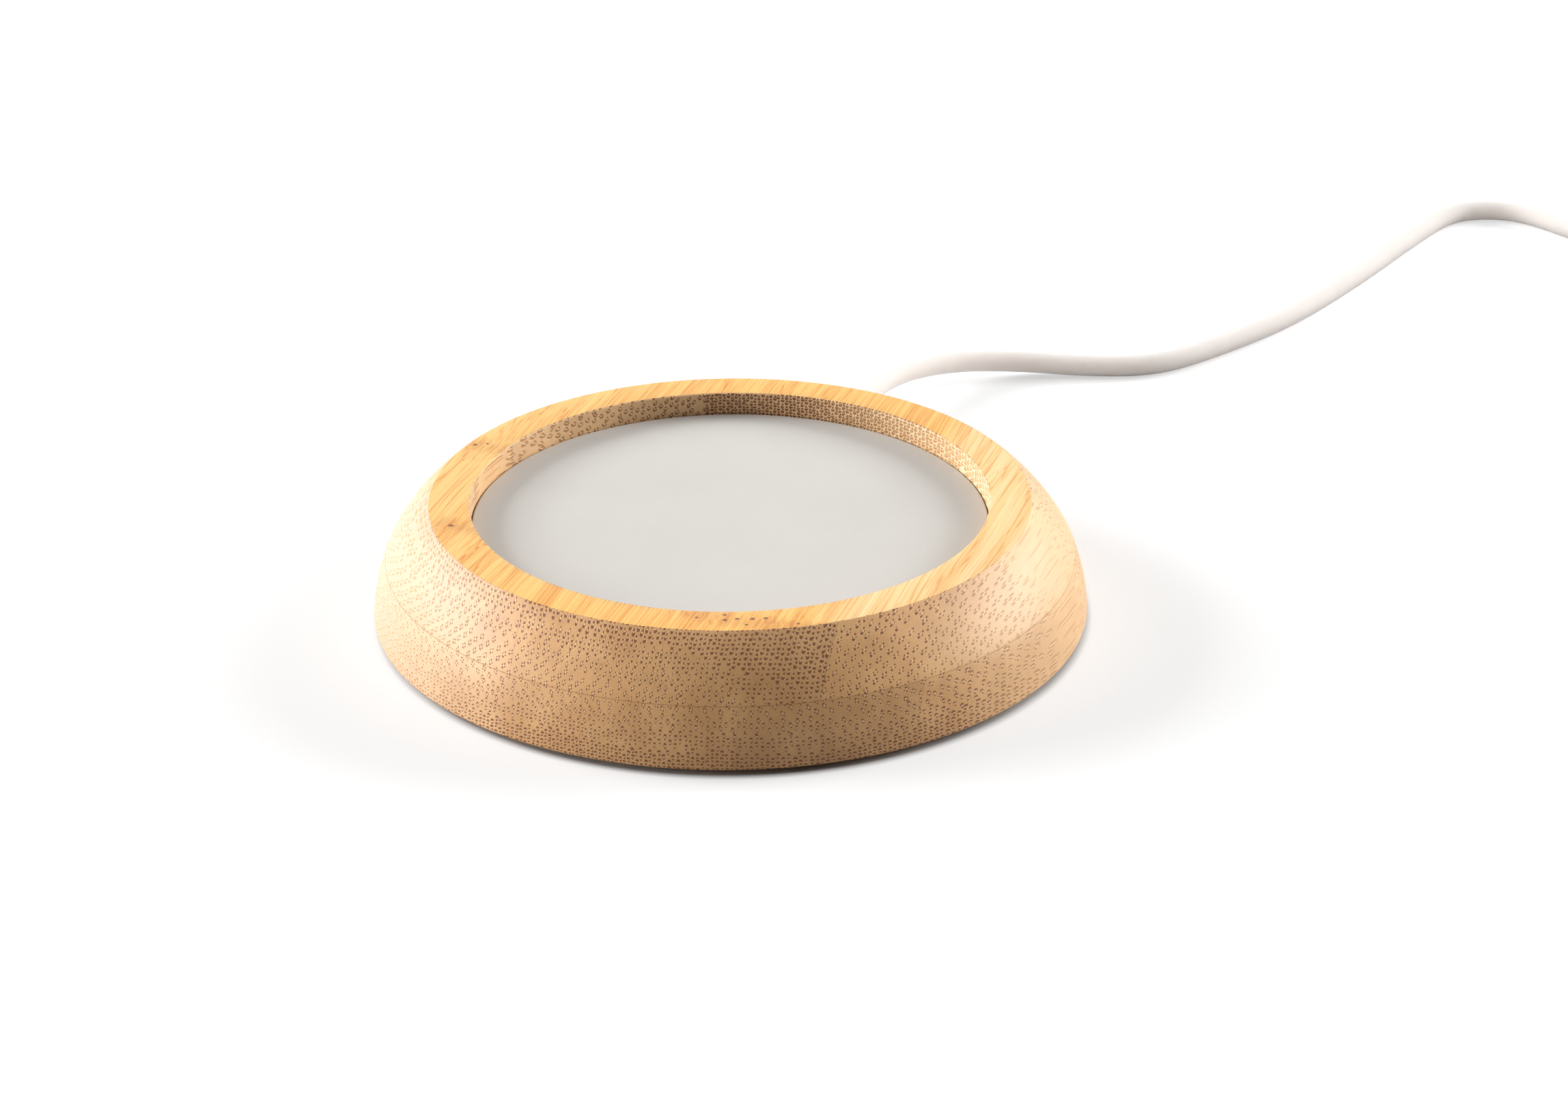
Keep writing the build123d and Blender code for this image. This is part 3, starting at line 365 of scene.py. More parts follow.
def end_grain(node, place, x, bore, right_sheen, tone, dark, pale):
    """Colour of the cut ends: straw ground with brown fibre caps, painted paler by sheen to both sides and
    by glare in the bore.
    """
    cloud = node("TexNoise", {"Vector": place, "Scale": 0.16, "Detail": 3, "Roughness": 0.55})
    patches = node("MapRange", [cloud, 0.36, 0.64, 0, 1])
    ground = node("Mix", {"Factor": patches, "A": STRAW, "B": LIGHT_STRAW}, data_type="RGBA")
    # Painted glare pales the bore towards its right, and painted sheen pales the right side.
    bore_glare = node("MapRange", [x, 0, 34, 0.3, 1])
    bore_glare = node("Math", [bore, bore_glare], operation="MULTIPLY")
    sheen_share = node("Math", [right_sheen, bore_glare], operation="MAXIMUM")
    sheen_colour = node("Mix", {"Factor": bore, "A": SHEEN_STRAW_RIGHT, "B": GLARE_STRAW_BORE}, data_type="RGBA")
    ground = node("Mix", {"Factor": sheen_share, "A": ground, "B": sheen_colour}, data_type="RGBA")
    # Painted sheen pales the left side, outside the bore.
    outside = node("Math", [bore, 0.5], operation="LESS_THAN")
    left_sheen = node("MapRange", [x, -14, -46, 0, outside])
    ground = node("Mix", {"Factor": left_sheen, "A": ground, "B": SHEEN_STRAW_LEFT}, data_type="RGBA")
    ground = node("VectorMath", [ground, tone], operation="MULTIPLY")
    middles = node("Math", [pale, 0.4], operation="MULTIPLY")
    ends = node("Mix", {"Factor": middles, "A": ground, "B": BUNDLE_MIDDLE}, data_type="RGBA")

    # The caps fade towards both sides, and towards the right of the bore: painted sheen and glare wash them
    # out.
    bore_glare_fade = node("MapRange", [x, -2, 27, 0, 0.95])
    bore_glare_fade = node("Math", [bore, bore_glare_fade], operation="MULTIPLY")
    far_left_sheen = node("MapRange", [x, -17, -44, 0, 1])
    faint = node("Math", [far_left_sheen, right_sheen], operation="MAXIMUM")
    faint = node("Math", [bore_glare_fade, faint], operation="MAXIMUM")
    caps = node("Mix", {"Factor": faint, "A": FIBRE_CAP, "B": SHEEN_CAP}, data_type="RGBA")
    sheen_weakened = node("MapRange", [right_sheen, 0, 1, 1, 0.6])
    marks = node("Math", [dark, sheen_weakened], operation="MULTIPLY")
    return node("Mix", {"Factor": marks, "A": ends, "B": caps}, data_type="RGBA")


def side_grain(node, fibres, x, y, normal_z, dark, culm_node):
    """Colour and lines of the fibres seen lengthwise: long thin darker lines on honey yellow."""
    # Hairs 0.2 mm wide and 25 mm long, loops 0.6 mm wide, and honey and amber streaks 1.2 mm wide. The real
    # hairs are half as wide: they are drawn wider to show.
    across, _, up = node("SeparateXYZ", [fibres]).outputs
    along = node("CombineXYZ", [across, y, up])
    fine = node("VectorMath", [along, (4.6, 0.04, 4.6)], operation="MULTIPLY")
    fine = node("TexNoise", {"Vector": fine, "Scale": 1, "Detail": 1, "Roughness": 0.5})
    loops = node("VectorMath", [along, (1.8, 0.035, 1.8)], operation="MULTIPLY")
    loops = node("TexNoise", {"Vector": loops, "Scale": 1, "Detail": 0})
    streaks = node("VectorMath", [along, (0.8, 0.02, 0.5)], operation="MULTIPLY")
    streaks = node("TexNoise", {"Vector": streaks, "Scale": 1, "Detail": 2, "Roughness": 0.6})

    edge = node("Math", [loops, 0.54], operation="SUBTRACT")
    edge = node("Math", [edge], operation="ABSOLUTE")
    lines = node("MapRange", [edge, 0.04, 0.01, 0, 0.95], interpolation_type="SMOOTHSTEP")
    hairs = node("MapRange", [fine, 0.57, 0.66, 0, 0.75], interpolation_type="SMOOTHSTEP")
    lines = node("Math", [lines, hairs], operation="MAXIMUM")
    crowded = node("MapRange", [streaks, 0.36, 0.6, 0.2, 1], interpolation_type="SMOOTHSTEP")
    flat = node("MapRange", [normal_z, 0.5, 0.9, 0.3, 1])
    crowded = node("Math", [crowded, flat], operation="MULTIPLY")
    lines = node("Math", [lines, crowded], operation="MULTIPLY")
    cut_lengthwise = node("Math", [dark, 0.4], operation="MULTIPLY")
    lines = node("Math", [lines, cut_lengthwise], operation="MAXIMUM")

    # Both tones pale right of 22 mm and, less, towards the left, and their lines soften with them: a painted
    # sheen.
    right_rim_sheen = node("MapRange", [x, 22, 27, 0, 1])
    left_rim_sheen = node("MapRange", [x, -10, -46, 0, 0.4])
    sheen_share = node("Math", [right_rim_sheen, left_rim_sheen], operation="ADD")
    softer = node("MapRange", [sheen_share, 0, 1, 1, 0.75])
    lines = node("Math", [lines, softer], operation="MULTIPLY")
    honey = node("Mix", {"Factor": sheen_share, "A": HONEY, "B": SHEEN_HONEY}, data_type="RGBA")
    amber = node("Mix", {"Factor": sheen_share, "A": AMBER, "B": SHEEN_AMBER}, data_type="RGBA")
    bands = node("MapRange", [streaks, 0.3, 0.7, 0, 1], interpolation_type="SMOOTHSTEP")
    sides = node("Mix", {"Factor": bands, "A": honey, "B": amber}, data_type="RGBA")
    sides = node("Mix", {"Factor": lines, "A": sides, "B": FIBRE_LINE}, data_type="RGBA")
    stain = node("MapRange", [fine, 0.35, 0.65, 0.15, 0.6])
    stain = node("Math", [culm_node, stain], operation="MULTIPLY")
    sides = node("Mix", {"Factor": stain, "A": sides, "B": CULM_STAIN}, data_type="RGBA")
    return sides, lines


def open_pores(node, x, y):
    """Open pores of the culm nodes: dark holes, each partly filled by a paler plug."""
    spot = node("CombineXYZ", [x, y])
    pore = 0.0
    for pore_x, pore_y, radius in PORES:
        away = node("VectorMath", [spot, (pore_x, pore_y, 0)], operation="DISTANCE").outputs["Value"]
        hole = node("MapRange", [away, 1.25 * radius, 0.8 * radius, 0, 1])
        plug_place = (pore_x - 0.25 * radius, pore_y - 0.3 * radius, 0)
        away = node("VectorMath", [spot, plug_place], operation="DISTANCE").outputs["Value"]
        plug = node("MapRange", [away, 0.65 * radius, 0.3 * radius, 0, 0.3])
        hole = node("Math", [hole, plug], operation="SUBTRACT")
        pore = node("Math", [pore, hole], operation="MAXIMUM")
    return pore


def bamboo(name, first_joint, sheen_from, skin_level, soft_level, strips_cut):
    """Bamboo strips glued side by side, turned and sanded: fibres along Y, their cut ends on the sides.

    The joint at X = first_joint is the left edge of strip 0. From X = sheen_from the right side is painted
    paler, a painted sheen.
    strips_cut says for each strip how much nearer its skin it was cut, as a share of its thickness, how
    much more so at its right edge, and how much lighter it is.
    """
    material, node = new_material(name)
    place = millimetres(node)
    x, y, z = node("SeparateXYZ", [place]).outputs
    fleck = node("TexNoise", {"Vector": place, "Scale": 5.5, "Detail": 2, "Roughness": 0.7})

    strips = node("Math", [x, first_joint], operation="SUBTRACT")
    strips = node("Math", [strips, STRIP_WIDTH], operation="DIVIDE")
    strip = node("Math", [strips], operation="FLOOR")
    within = node("Math", [strips], operation="FRACT")
    joint = node("Math", [strips, 0.5], operation="PINGPONG")
    joint = node("Math", [joint, STRIP_WIDTH], operation="MULTIPLY")
    chance = node("TexWhiteNoise", {"W": strip}, noise_dimensions="1D")
    chance = node("SeparateColor", [chance.outputs["Color"]])
    tone = node("MapRange", [chance.outputs["Green"], 0, 1, 0.9, 1.05])
    fibres, culm_node = growing_fibres(node, place, y, strip)

    # Which way the surface faces: into the bore, along the fibres, where they are cut, or up, on the rim.
    normal = node("NewGeometry").outputs["Normal"]
    outward = node("VectorMath", [place, (1, 1, 0)], operation="MULTIPLY")
    outward = node("VectorMath", [outward], operation="NORMALIZE")
    outward = node("VectorMath", [normal, outward], operation="DOT_PRODUCT").outputs["Value"]
    bore = node("MapRange", [outward, -0.3, -0.7, 0, 1])
    _, normal_y, normal_z = node("SeparateXYZ", [normal]).outputs
    facing = node("Math", [normal_y], operation="ABSOLUTE")
    cut_end = node("MapRange", [facing, 0.03, 0.2, 0, 1], interpolation_type="SMOOTHSTEP")
    on_rim = node("MapRange", [normal_z, 0.9, 0.97, 0, 1])

    # Share of the strip's thickness at each place. It falls a little along the strip.
    across, _, up = node("SeparateXYZ", [fibres]).outputs
    inward = node("Math", [up, skin_level], operation="SUBTRACT")
    if skin_level > soft_level:
        inward = node("Math", [inward, -1], operation="MULTIPLY")
    skin_share = node("Math", [inward, -1 / PLY_DEPTH, 1], operation="MULTIPLY_ADD")
    skin_share = node("Math", [y, -0.004, skin_share], operation="MULTIPLY_ADD")
    for number, (nearer_skin, at_right_edge, lighter) in strips_cut.items():
        here = node("Math", [strip, number, 0.5], operation="COMPARE")
        tone = node("Math", [here, lighter, tone], operation="MULTIPLY_ADD")
        nearer = node("Math", [within, at_right_edge, nearer_skin], operation="MULTIPLY_ADD")
        skin_share = node("Math", [here, nearer, skin_share], operation="MULTIPLY_ADD")
    # In the bore, strips -1 and up are cut near their skin.
    near_skin = node("Math", [strip, -1.5], operation="GREATER_THAN")
    near_skin = node("Math", [near_skin, bore], operation="MULTIPLY")
    skin_share = node("Math", [near_skin, 0.9, skin_share], operation="MULTIPLY_ADD")

    dark, pale = 0.0, 0.0
    for size in BUNDLES:
        more_dark, more_pale = bundle_marks(node, across, inward, skin_share, bore, size)
        dark = node("Math", [dark, more_dark], operation="MAXIMUM")
        pale = node("Math", [pale, more_pale], operation="MAXIMUM")

    # Painted sheen: the right side is painted paler from sheen_from.
    right_sheen = node("MapRange", [x, sheen_from, sheen_from + 14, 0, 1])
    grainy = node("MapRange", [fleck, 0.25, 0.75, 0.86, 1.1])
    tone = node("Math", [tone, grainy], operation="MULTIPLY")
    ends = end_grain(node, place, x, bore, right_sheen, tone, dark, pale)
    sides, lines = side_grain(node, fibres, x, y, normal_z, dark, culm_node)
    end_share = node("MapRange", [normal_z, 0.9, 0.7, 0, 0.85])
    end_share = node("Math", [end_share, cut_end], operation="MAXIMUM")
    colour = node("Mix", {"Factor": end_share, "A": sides, "B": ends}, data_type="RGBA")

    # Glue lines between the strips and between the plies, 0.1 mm wide.
    seam = node("MapRange", [joint, 0.03, 0.08, 0.24, 0], interpolation_type="SMOOTHSTEP")
    seen = node("MapRange", [cut_end, 0, 1, 0.15, 1])
    seam = node("Math", [seam, seen], operation="MULTIPLY")
    glue = node("Math", [z, Z_GLUE / MM], operation="SUBTRACT")
    glue = node("Math", [glue], operation="ABSOLUTE")
    glue = node("MapRange", [glue, 0.02, 0.07, 0.32, 0], interpolation_type="SMOOTHSTEP")
    seam = node("Math", [seam, glue], operation="MAXIMUM")
    colour = node("Mix", {"Factor": seam, "A": colour, "B": GLUE_LINE}, data_type="RGBA")

    pore = node("Math", [open_pores(node, x, y), on_rim], operation="MULTIPLY")
    colour = node("Mix", {"Factor": pore, "A": colour, "B": OPEN_PORE}, data_type="RGBA")

    # Relief: sunk vessels, and the fine rings that turning leaves, 0.1 mm apart. It is deeper in the bore.
    rings = node("VectorMath", [place, (0.02, 0.02, 9)], operation="MULTIPLY")
    rings = node("TexNoise", {"Vector": rings, "Scale": 1, "Detail": 2})
    sunk = node("Math", [dark, cut_end], operation="MULTIPLY")
    raised = node("Math", [cut_end, 0.5], operation="MULTIPLY")
    raised = node("Math", [pale, raised], operation="MULTIPLY")
    height = node("Math", [sunk, -1, raised], operation="MULTIPLY_ADD")
    height = node("Math", [pore, -0.6, height], operation="MULTIPLY_ADD")
    height = node("Math", [rings, 0.2, height], operation="MULTIPLY_ADD")
    height = node("Math", [lines, -0.2, height], operation="MULTIPLY_ADD")
    deeper = node("Math", [bore, 1.5, 1], operation="MULTIPLY_ADD")
    height = node("Math", [height, deeper], operation="MULTIPLY")
    bump = node("Bump", {"Strength": 1, "Distance": 0.035 * MM, "Height": height})

    # The rim is sanded matt, and the turned wall is silkier.
    rough = node("MapRange", [fleck, 0, 1, 0.42, 0.56])
    rough = node("Math", [on_rim, 0.42, rough], operation="MULTIPLY_ADD")
    look = {"Base_Color": colour, "Roughness": rough, "Normal": bump}
    return finish_material(material, node, **look, Sheen_Weight=0.1, Sheen_Roughness=0.5)


# ---- Other finishes ----

def anodised_aluminium():
    """Bead-blasted, clear-anodised aluminium: a silky pale grey without gloss spots, finely speckled."""
    # The craters of the beads are some 0.05 mm across. They are drawn at 0.16 mm, to show at all.
    material, node = new_material("anodised_aluminium")
    place = millimetres(node)
    beads = node("TexNoise", {"Vector": place, "Scale": 1 / 0.16, "Detail": 2, "Roughness": 0.6})
    clouds = node("TexNoise", {"Vector": place, "Scale": 1 / 14, "Detail": 2})
    tone = node("MapRange", [beads, 0.3, 0.7, 0.97, 1.03])
    drift = node("MapRange", [clouds, 0.3, 0.7, 0.985, 1.015])
    tone = node("Math", [tone, drift], operation="MULTIPLY")
    colour = node("VectorMath", [linear("#C6C3BE")[:3], tone], operation="MULTIPLY")
    bump = node("Bump", {"Strength": 0.5, "Distance": 0.006 * MM, "Height": beads})
    rough = node("MapRange", [beads, 0.3, 0.7, 0.84, 0.9])
    return finish_material(material, node, Base_Color=colour, Metallic=0.3, Roughness=rough, Normal=bump)


def moulded(name, hexcode, roughness, grain, depth, **extra):
    """Moulded plastic or rubber: one even colour, and the fine spark-eroded grain of its mould.

    grain and depth are in mm. The real grain is some 0.05 mm: it is drawn coarser, to show from near by.
    """
    material, node = new_material(name)
    place = millimetres(node)
    spark = node("TexNoise", {"Vector": place, "Scale": 1 / grain, "Detail": 3, "Roughness": 0.65})
    tone = node("MapRange", [spark, 0.25, 0.75, 0.96, 1.03])
    colour = node("VectorMath", [linear(hexcode)[:3], tone], operation="MULTIPLY")
    rough = node("MapRange", [spark, 0, 1, roughness - 0.07, roughness + 0.07])
    bump = node("Bump", {"Strength": 0.6, "Distance": depth * MM, "Height": spark})
    return finish_material(material, node, Base_Color=colour, Roughness=rough, Normal=bump, **extra)


def extruded(name, hexcode, roughness, **extra):
    """Extruded wire or cord cover: smooth, with faint ripples every 2.8 mm and a little dust on it."""
    material, node = new_material(name)
    place = millimetres(node)
    ripple = node("TexNoise", {"Vector": place, "Scale": 1 / 2.8, "Detail": 2, "Roughness": 0.5})
    dust = node("TexNoise", {"Vector": place, "Scale": 1 / 0.2, "Detail": 1})
    tone = node("MapRange", [ripple, 0.25, 0.75, 0.975, 1.015])
    colour = node("VectorMath", [linear(hexcode)[:3], tone], operation="MULTIPLY")
    rough = node("MapRange", [dust, 0, 1, roughness - 0.05, roughness + 0.05])
    bump = node("Bump", {"Strength": 0.4, "Distance": 0.02 * MM, "Height": ripple})
    return finish_material(material, node, Base_Color=colour, Roughness=rough, Normal=bump, **extra)


def metal(name, hexcode, roughness, lines_per_mm):
    """Plated or cold-formed metal: bright, with fine drawing lines along the axis of the fewest per mm."""
    material, node = new_material(name)
    place = node("VectorMath", [millimetres(node), lines_per_mm], operation="MULTIPLY")
    lines = node("TexNoise", {"Vector": place, "Scale": 1, "Detail": 2, "Roughness": 0.6})
    tone = node("MapRange", [lines, 0.25, 0.75, 0.94, 1.04])
    colour = node("VectorMath", [linear(hexcode)[:3], tone], operation="MULTIPLY")
    rough = node("MapRange", [lines, 0, 1, roughness - 0.08, roughness + 0.08])
    bump = node("Bump", {"Strength": 0.4, "Distance": 0.008 * MM, "Height": lines})
    return finish_material(material, node, Base_Color=colour, Metallic=1, Roughness=rough, Normal=bump)


def wave_scale(spacing):
    """Scale of a wave texture whose bands stand this many mm apart."""
    return 2 * pi / 20 / spacing


def printed_heater_film():
    """Polyimide film: glossy amber, with the darker etched track showing through in rings 1.96 mm apart."""
    material, node = new_material("polyimide_film")
    place = millimetres(node)
    rings = {"Vector": place, "Scale": wave_scale(1.9635), "Distortion": 0}
    rings = node("TexWave", rings, wave_type="RINGS", rings_direction="Z")
    track = node("MapRange", [rings, 0.4, 0.5, 0, 1])
    amber, etched = linear("#C9771B"), linear("#8E4A12")
    colour = node("Mix", {"Factor": track, "A": amber, "B": etched}, data_type="RGBA")
    bump = node("Bump", {"Strength": 0.5, "Distance": 0.03 * MM, "Height": track})
    return finish_material(material, node, Base_Color=colour, Roughness=0.25, Normal=bump)


def needled_felt():
    """Needled felt: matt, off-white, a tangle of short fibres."""
    # The fibres are 0.03 mm thick, too fine to show: the tufts that they form, 0.45 mm across, are drawn.
    material, node = new_material("needled_felt")
    place = millimetres(node)
    tangle = {"Vector": place, "Scale": 2.2, "Detail": 6, "Roughness": 0.75, "Distortion": 1.5}
    tangle = node("TexNoise", tangle)
    shade, wool = linear("#B9B4A8"), linear("#E9E6DE")
    colour = node("Mix", {"Factor": tangle, "A": shade, "B": wool}, data_type="RGBA")
    bump = node("Bump", {"Strength": 1, "Distance": 0.12 * MM, "Height": tangle})
    look = {"Base_Color": colour, "Roughness": 0.95, "Normal": bump}
    return finish_material(material, node, **look, Sheen_Weight=0.3)


def woven_laminate():
    """Glass-fibre laminate: pale yellow, with the square weave of the cloth under the resin."""
    # Threads 0.52 mm apart, as in a usual cloth of this kind.
    material, node = new_material("woven_laminate")
    place = millimetres(node)
    threads = {"Vector": place, "Scale": wave_scale(0.5236), "Distortion": 0.3}
    warp = node("TexWave", threads, bands_direction="X")
    weft = node("TexWave", threads, bands_direction="Y")
    weave = node("Math", [warp, weft], operation="MULTIPLY")
    resin, thread = linear("#C2B071"), linear("#D9CB90")
    colour = node("Mix", {"Factor": weave, "A": resin, "B": thread}, data_type="RGBA")
    bump = node("Bump", {"Strength": 0.5, "Distance": 0.02 * MM, "Height": weave})
    return finish_material(material, node, Base_Color=colour, Roughness=0.45, Normal=bump)


def solder_mask():
    """Circuit board under green solder mask: glossy, its copper tracks lighter and slightly raised."""
    # A brick pattern of 1.1 x 0.56 mm fields, whose joints are the tracks.
    material, node = new_material("solder_mask")
    place = millimetres(node)
    fields = node("TexBrick", {"Vector": place, "Scale": 0.45, "Mortar Size": 0.05, "Mortar Smooth": 0.2})
    track = fields.outputs["Fac"]
    mask, over_copper = linear("#14532B"), linear("#2E7A45")
    colour = node("Mix", {"Factor": track, "A": mask, "B": over_copper}, data_type="RGBA")
    bump = node("Bump", {"Strength": 0.6, "Distance": 0.035 * MM, "Height": track})
    return finish_material(material, node, Base_Color=colour, Roughness=0.3, Normal=bump)


def make_finishes():
    """Every finish by the record's slot. Drawing lines are really closer: they are spread out to show."""
    drawn_along_y = (9, 0.5, 9)
    turned_round_z = (3, 3, 12)
    see_through = {
        "Subsurface_Weight": 1,
        "Subsurface_Radius": (1, 0.94, 0.9),
        "Subsurface_Scale": 20 * MM,
        "Specular_IOR_Level": 0.3,
    }
    waxy = {"Subsurface_Weight": 0.1, "Subsurface_Scale": MM}
    return {
        "bamboo": bamboo(
            "turned_bamboo_upper_ply",
            first_joint=5.5,
            sheen_from=35,
            skin_level=Z_RIM / MM,
            soft_level=Z_GLUE / MM,
            strips_cut={
                -3: (-0.3, 0.0, 0.0),
                -2: (-0.38, 0.0, 0.0),
                -1: (-0.22, 0.1, 0.0),
                0: (-0.15, 0.7, 0.0),
                1: (-0.6, -0.1, 0.04),
                2: (-0.3, 0.2, 0.0),
            },
        ),
        "anodised_aluminium": anodised_aluminium(),
        "stainless": metal("zinc_plated_steel", "#B9BBBD", 0.3, turned_round_z),
        "brass": metal("turned_brass", "#D3AE5C", 0.28, turned_round_z),
        "polyimide": printed_heater_film(),
        "felt": needled_felt(),
        "fibre_board": woven_laminate(),
        "circuit_board": solder_mask(),
        "black_resin": moulded("moulded_epoxy", "#26262A", 0.55, 0.1, 0.01),
        "ceramic": moulded("fired_ceramic", "#B48F62", 0.5, 0.15, 0.008),
        "solder": metal("tin_solder", "#C9CACC", 0.22, (1.2, 1.2, 1.2)),
        "red_insulation": extruded("red_pvc_insulation", "#B8231D", 0.35),
        "black_insulation": extruded("black_pvc_insulation", "#1E1E20", 0.35),
        "white_insulation": extruded("white_ptfe_insulation", "#E4E2DC", 0.3),
        "nylon": moulded("natural_nylon", "#E6E2D6", 0.42, 0.25, 0.012, **waxy),
        "cover_plastic": moulded("moulded_abs", "#D9D7D2", 0.5, 0.18, 0.03),
        "foot_rubber": moulded("moulded_silicone_rubber", "#3A3A3C", 0.7, 0.22, 0.02),
        "cord_jacket": extruded("extruded_soft_pvc", "#C4BAB4", 0.7, **see_through),
        "plug_plastic": moulded("moulded_soft_pvc", "#D2CCC7", 0.7, 0.16, 0.015, Specular_IOR_Level=0.2),
        "nickel": metal("nickel_plated_steel", "#CFCBC2", 0.2, drawn_along_y),
        "gold": metal("gold_flashed_contact", "#E2B85A", 0.2, drawn_along_y),
    }


finishes = make_finishes()
lower_bamboo = bamboo(
    "turned_bamboo_lower_ply",
    first_joint=16.55,
    sheen_from=41,
    skin_level=Z_UNDERSIDE / MM,
    soft_level=Z_GLUE / MM,
    strips_cut={
        -3: (-0.05, 0.0, 0.0),
        -2: (-0.1, 0.05, 0.0),
        -1: (-0.1, 0.05, -0.02),
        0: (-0.06, 0.0, -0.06),
        1: (0.02, 0.1, -0.04),
        2: (0.1, 0.1, 0.0),
    },
)


def clothe_frame():
    """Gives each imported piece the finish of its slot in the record."""
    slot_of = {part["node"]: part["material_slot"] for part in frame["record"]["subparts"]}
    for name, piece in frame["nodes"].items():
        piece.data.materials.clear()
        piece.data.materials.append(finishes[slot_of[name]])


# ---- Mesh helpers ----

def add_piece(name, slot, mesh, finish=None):
    """Puts a mesh or curve in the scene as a piece of the object, smooth but for its true edges."""
    piece = bpy.data.objects.new(name, mesh)
    bpy.context.scene.collection.objects.link(piece)
    mesh.materials.append(finish or finishes[slot])
    if isinstance(mesh, bpy.types.Mesh):
        mesh.shade_smooth()
        mesh.set_sharp_from_angle(angle=radians(SHARP_EDGE))
    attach(piece, "root")
    return piece


def bowed(start, end, bulge, count):
    """Points from start to end along a side bowed outwards, without the last."""
    (r0, z0), (r1, z1) = start, end
    length = sqrt((r1 - r0) ** 2 + (z1 - z0) ** 2)
    out_r, out_z = (z1 - z0) / length, (r0 - r1) / length
    points = []
    for i in range(count):
        t = i / count
        swell = 4 * t * (1 - t) * bulge
        points.append((r0 + t * (r1 - r0) + swell * out_r, z0 + t * (z1 - z0) + swell * out_z))
    return points


def eased(outline, rounds, steps=5):
    """Closed outline with some corners rounded; rounds gives a radius by the corner's index."""
    points = []
    for i, corner in enumerate(outline):
        if i not in rounds:
            points.append(corner)
            continue
        here = Vector(corner)
        to_last = (Vector(outline[i - 1]) - here).normalized()
        to_next = (Vector(outline[(i + 1) % len(outline)]) - here).normalized()
        half = to_last.angle(to_next) / 2
        middle = here + (to_last + to_next).normalized() * rounds[i] / sin(half)
        tangent = rounds[i] * cos(half) / sin(half)
        first = (to_last * tangent + here - middle).normalized()
        last = (to_next * tangent + here - middle).normalized()
        for step in range(steps + 1):
            points.append(tuple(middle + first.slerp(last, step / steps) * rounds[i]))
    return points


def finished(shape, name):
    """Mesh of a shape whose faces are all there, turned outwards."""
    bmesh.ops.recalc_face_normals(shape, faces=shape.faces)
    mesh = bpy.data.meshes.new(name)
    shape.to_mesh(mesh)
    shape.free()
    return mesh


def turned(name, outline, segments, closed=True):
    """Mesh of a piece turned round Z from points (radius, level). An open outline ends on the axis."""
    shape = bmesh.new()
    rings = []
    for i in range(segments):
        a = 2 * pi * i / segments
        rings.append([shape.verts.new((r * cos(a), r * sin(a), z)) for r, z in outline])
    count = len(outline) if closed else len(outline) - 1
    for i, ring in enumerate(rings):
        after = rings[(i + 1) % segments]
        for j in range(count):
            k = (j + 1) % len(outline)
            shape.faces.new((ring[j], after[j], after[k], ring[k]))
    bmesh.ops.remove_doubles(shape, verts=shape.verts, dist=1e-7)
    return finished(shape, name)


def add_loft(shape, sections):
    """Adds a closed form through sections, each a ring of as many points, with its first and last filled."""
    rings = [[shape.verts.new(point) for point in section] for section in sections]
    for ring, after in zip(rings, rings[1:]):
        for j in range(len(ring)):
            k = (j + 1) % len(ring)
            shape.faces.new((ring[j], ring[k], after[k], after[j]))
    shape.faces.new(rings[0][::-1])
    shape.faces.new(rings[-1])


def lofted(name, sections):
    """Mesh of one closed form through sections."""
    shape = bmesh.new()
    add_loft(shape, sections)
    return finished(shape, name)


# ---- Bamboo ring and plate ----

def with_cord_hole(mesh):
    """The mesh with the lead's hole drilled through its wall towards +Y."""
    ends = (sleeve_low.y - 4 * MM, BASE_RADIUS + 2 * MM)
    drill = lofted("drill", [[(x, y, Z_EXIT + z) for x, z in circle(CORD_HOLE_RADIUS)] for y in ends])
    blank = bpy.data.objects.new("blank", mesh)
    tool = bpy.data.objects.new("tool", drill)
    for piece in (blank, tool):
        bpy.context.scene.collection.objects.link(piece)
    cut = blank.modifiers.new("hole", "BOOLEAN")
    cut.object = tool
    cut.solver = "EXACT"
    drilled = bpy.data.meshes.new_from_object(blank.evaluated_get(bpy.context.evaluated_depsgraph_get()))
    for piece in (blank, tool):
        bpy.data.objects.remove(piece)
    return drilled


def bamboo_upper():
    """Upper ply: bowed side, flat rim, and the bore with the shoulder that carries the plate."""
    bore = PLATE_RADIUS + PLATE_GAP
    rim = bore + RIM_WIDTH
    side = bowed((GLUE_RADIUS, Z_GLUE), (rim, Z_RIM), UPPER_BULGE, UPPER_STEPS)
    rest = [
        (rim, Z_RIM),
        (bore, Z_RIM),
        (bore, Z_SEAT),
        (bore - SHOULDER_WIDTH, Z_SEAT),
        (bore - SHOULDER_WIDTH, Z_GLUE),
    ]
    corners = {0: GLUE_EASE, UPPER_STEPS: RIM_ROUND, UPPER_STEPS + 1: BORE_ROUND}
    outline = eased(side + rest, corners)
    ring = add_piece("bamboo_upper_ply", "bamboo", turned("bamboo_upper_ply", outline, RING_SEGMENTS))
    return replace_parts(ring, "bamboo_upper_ring")


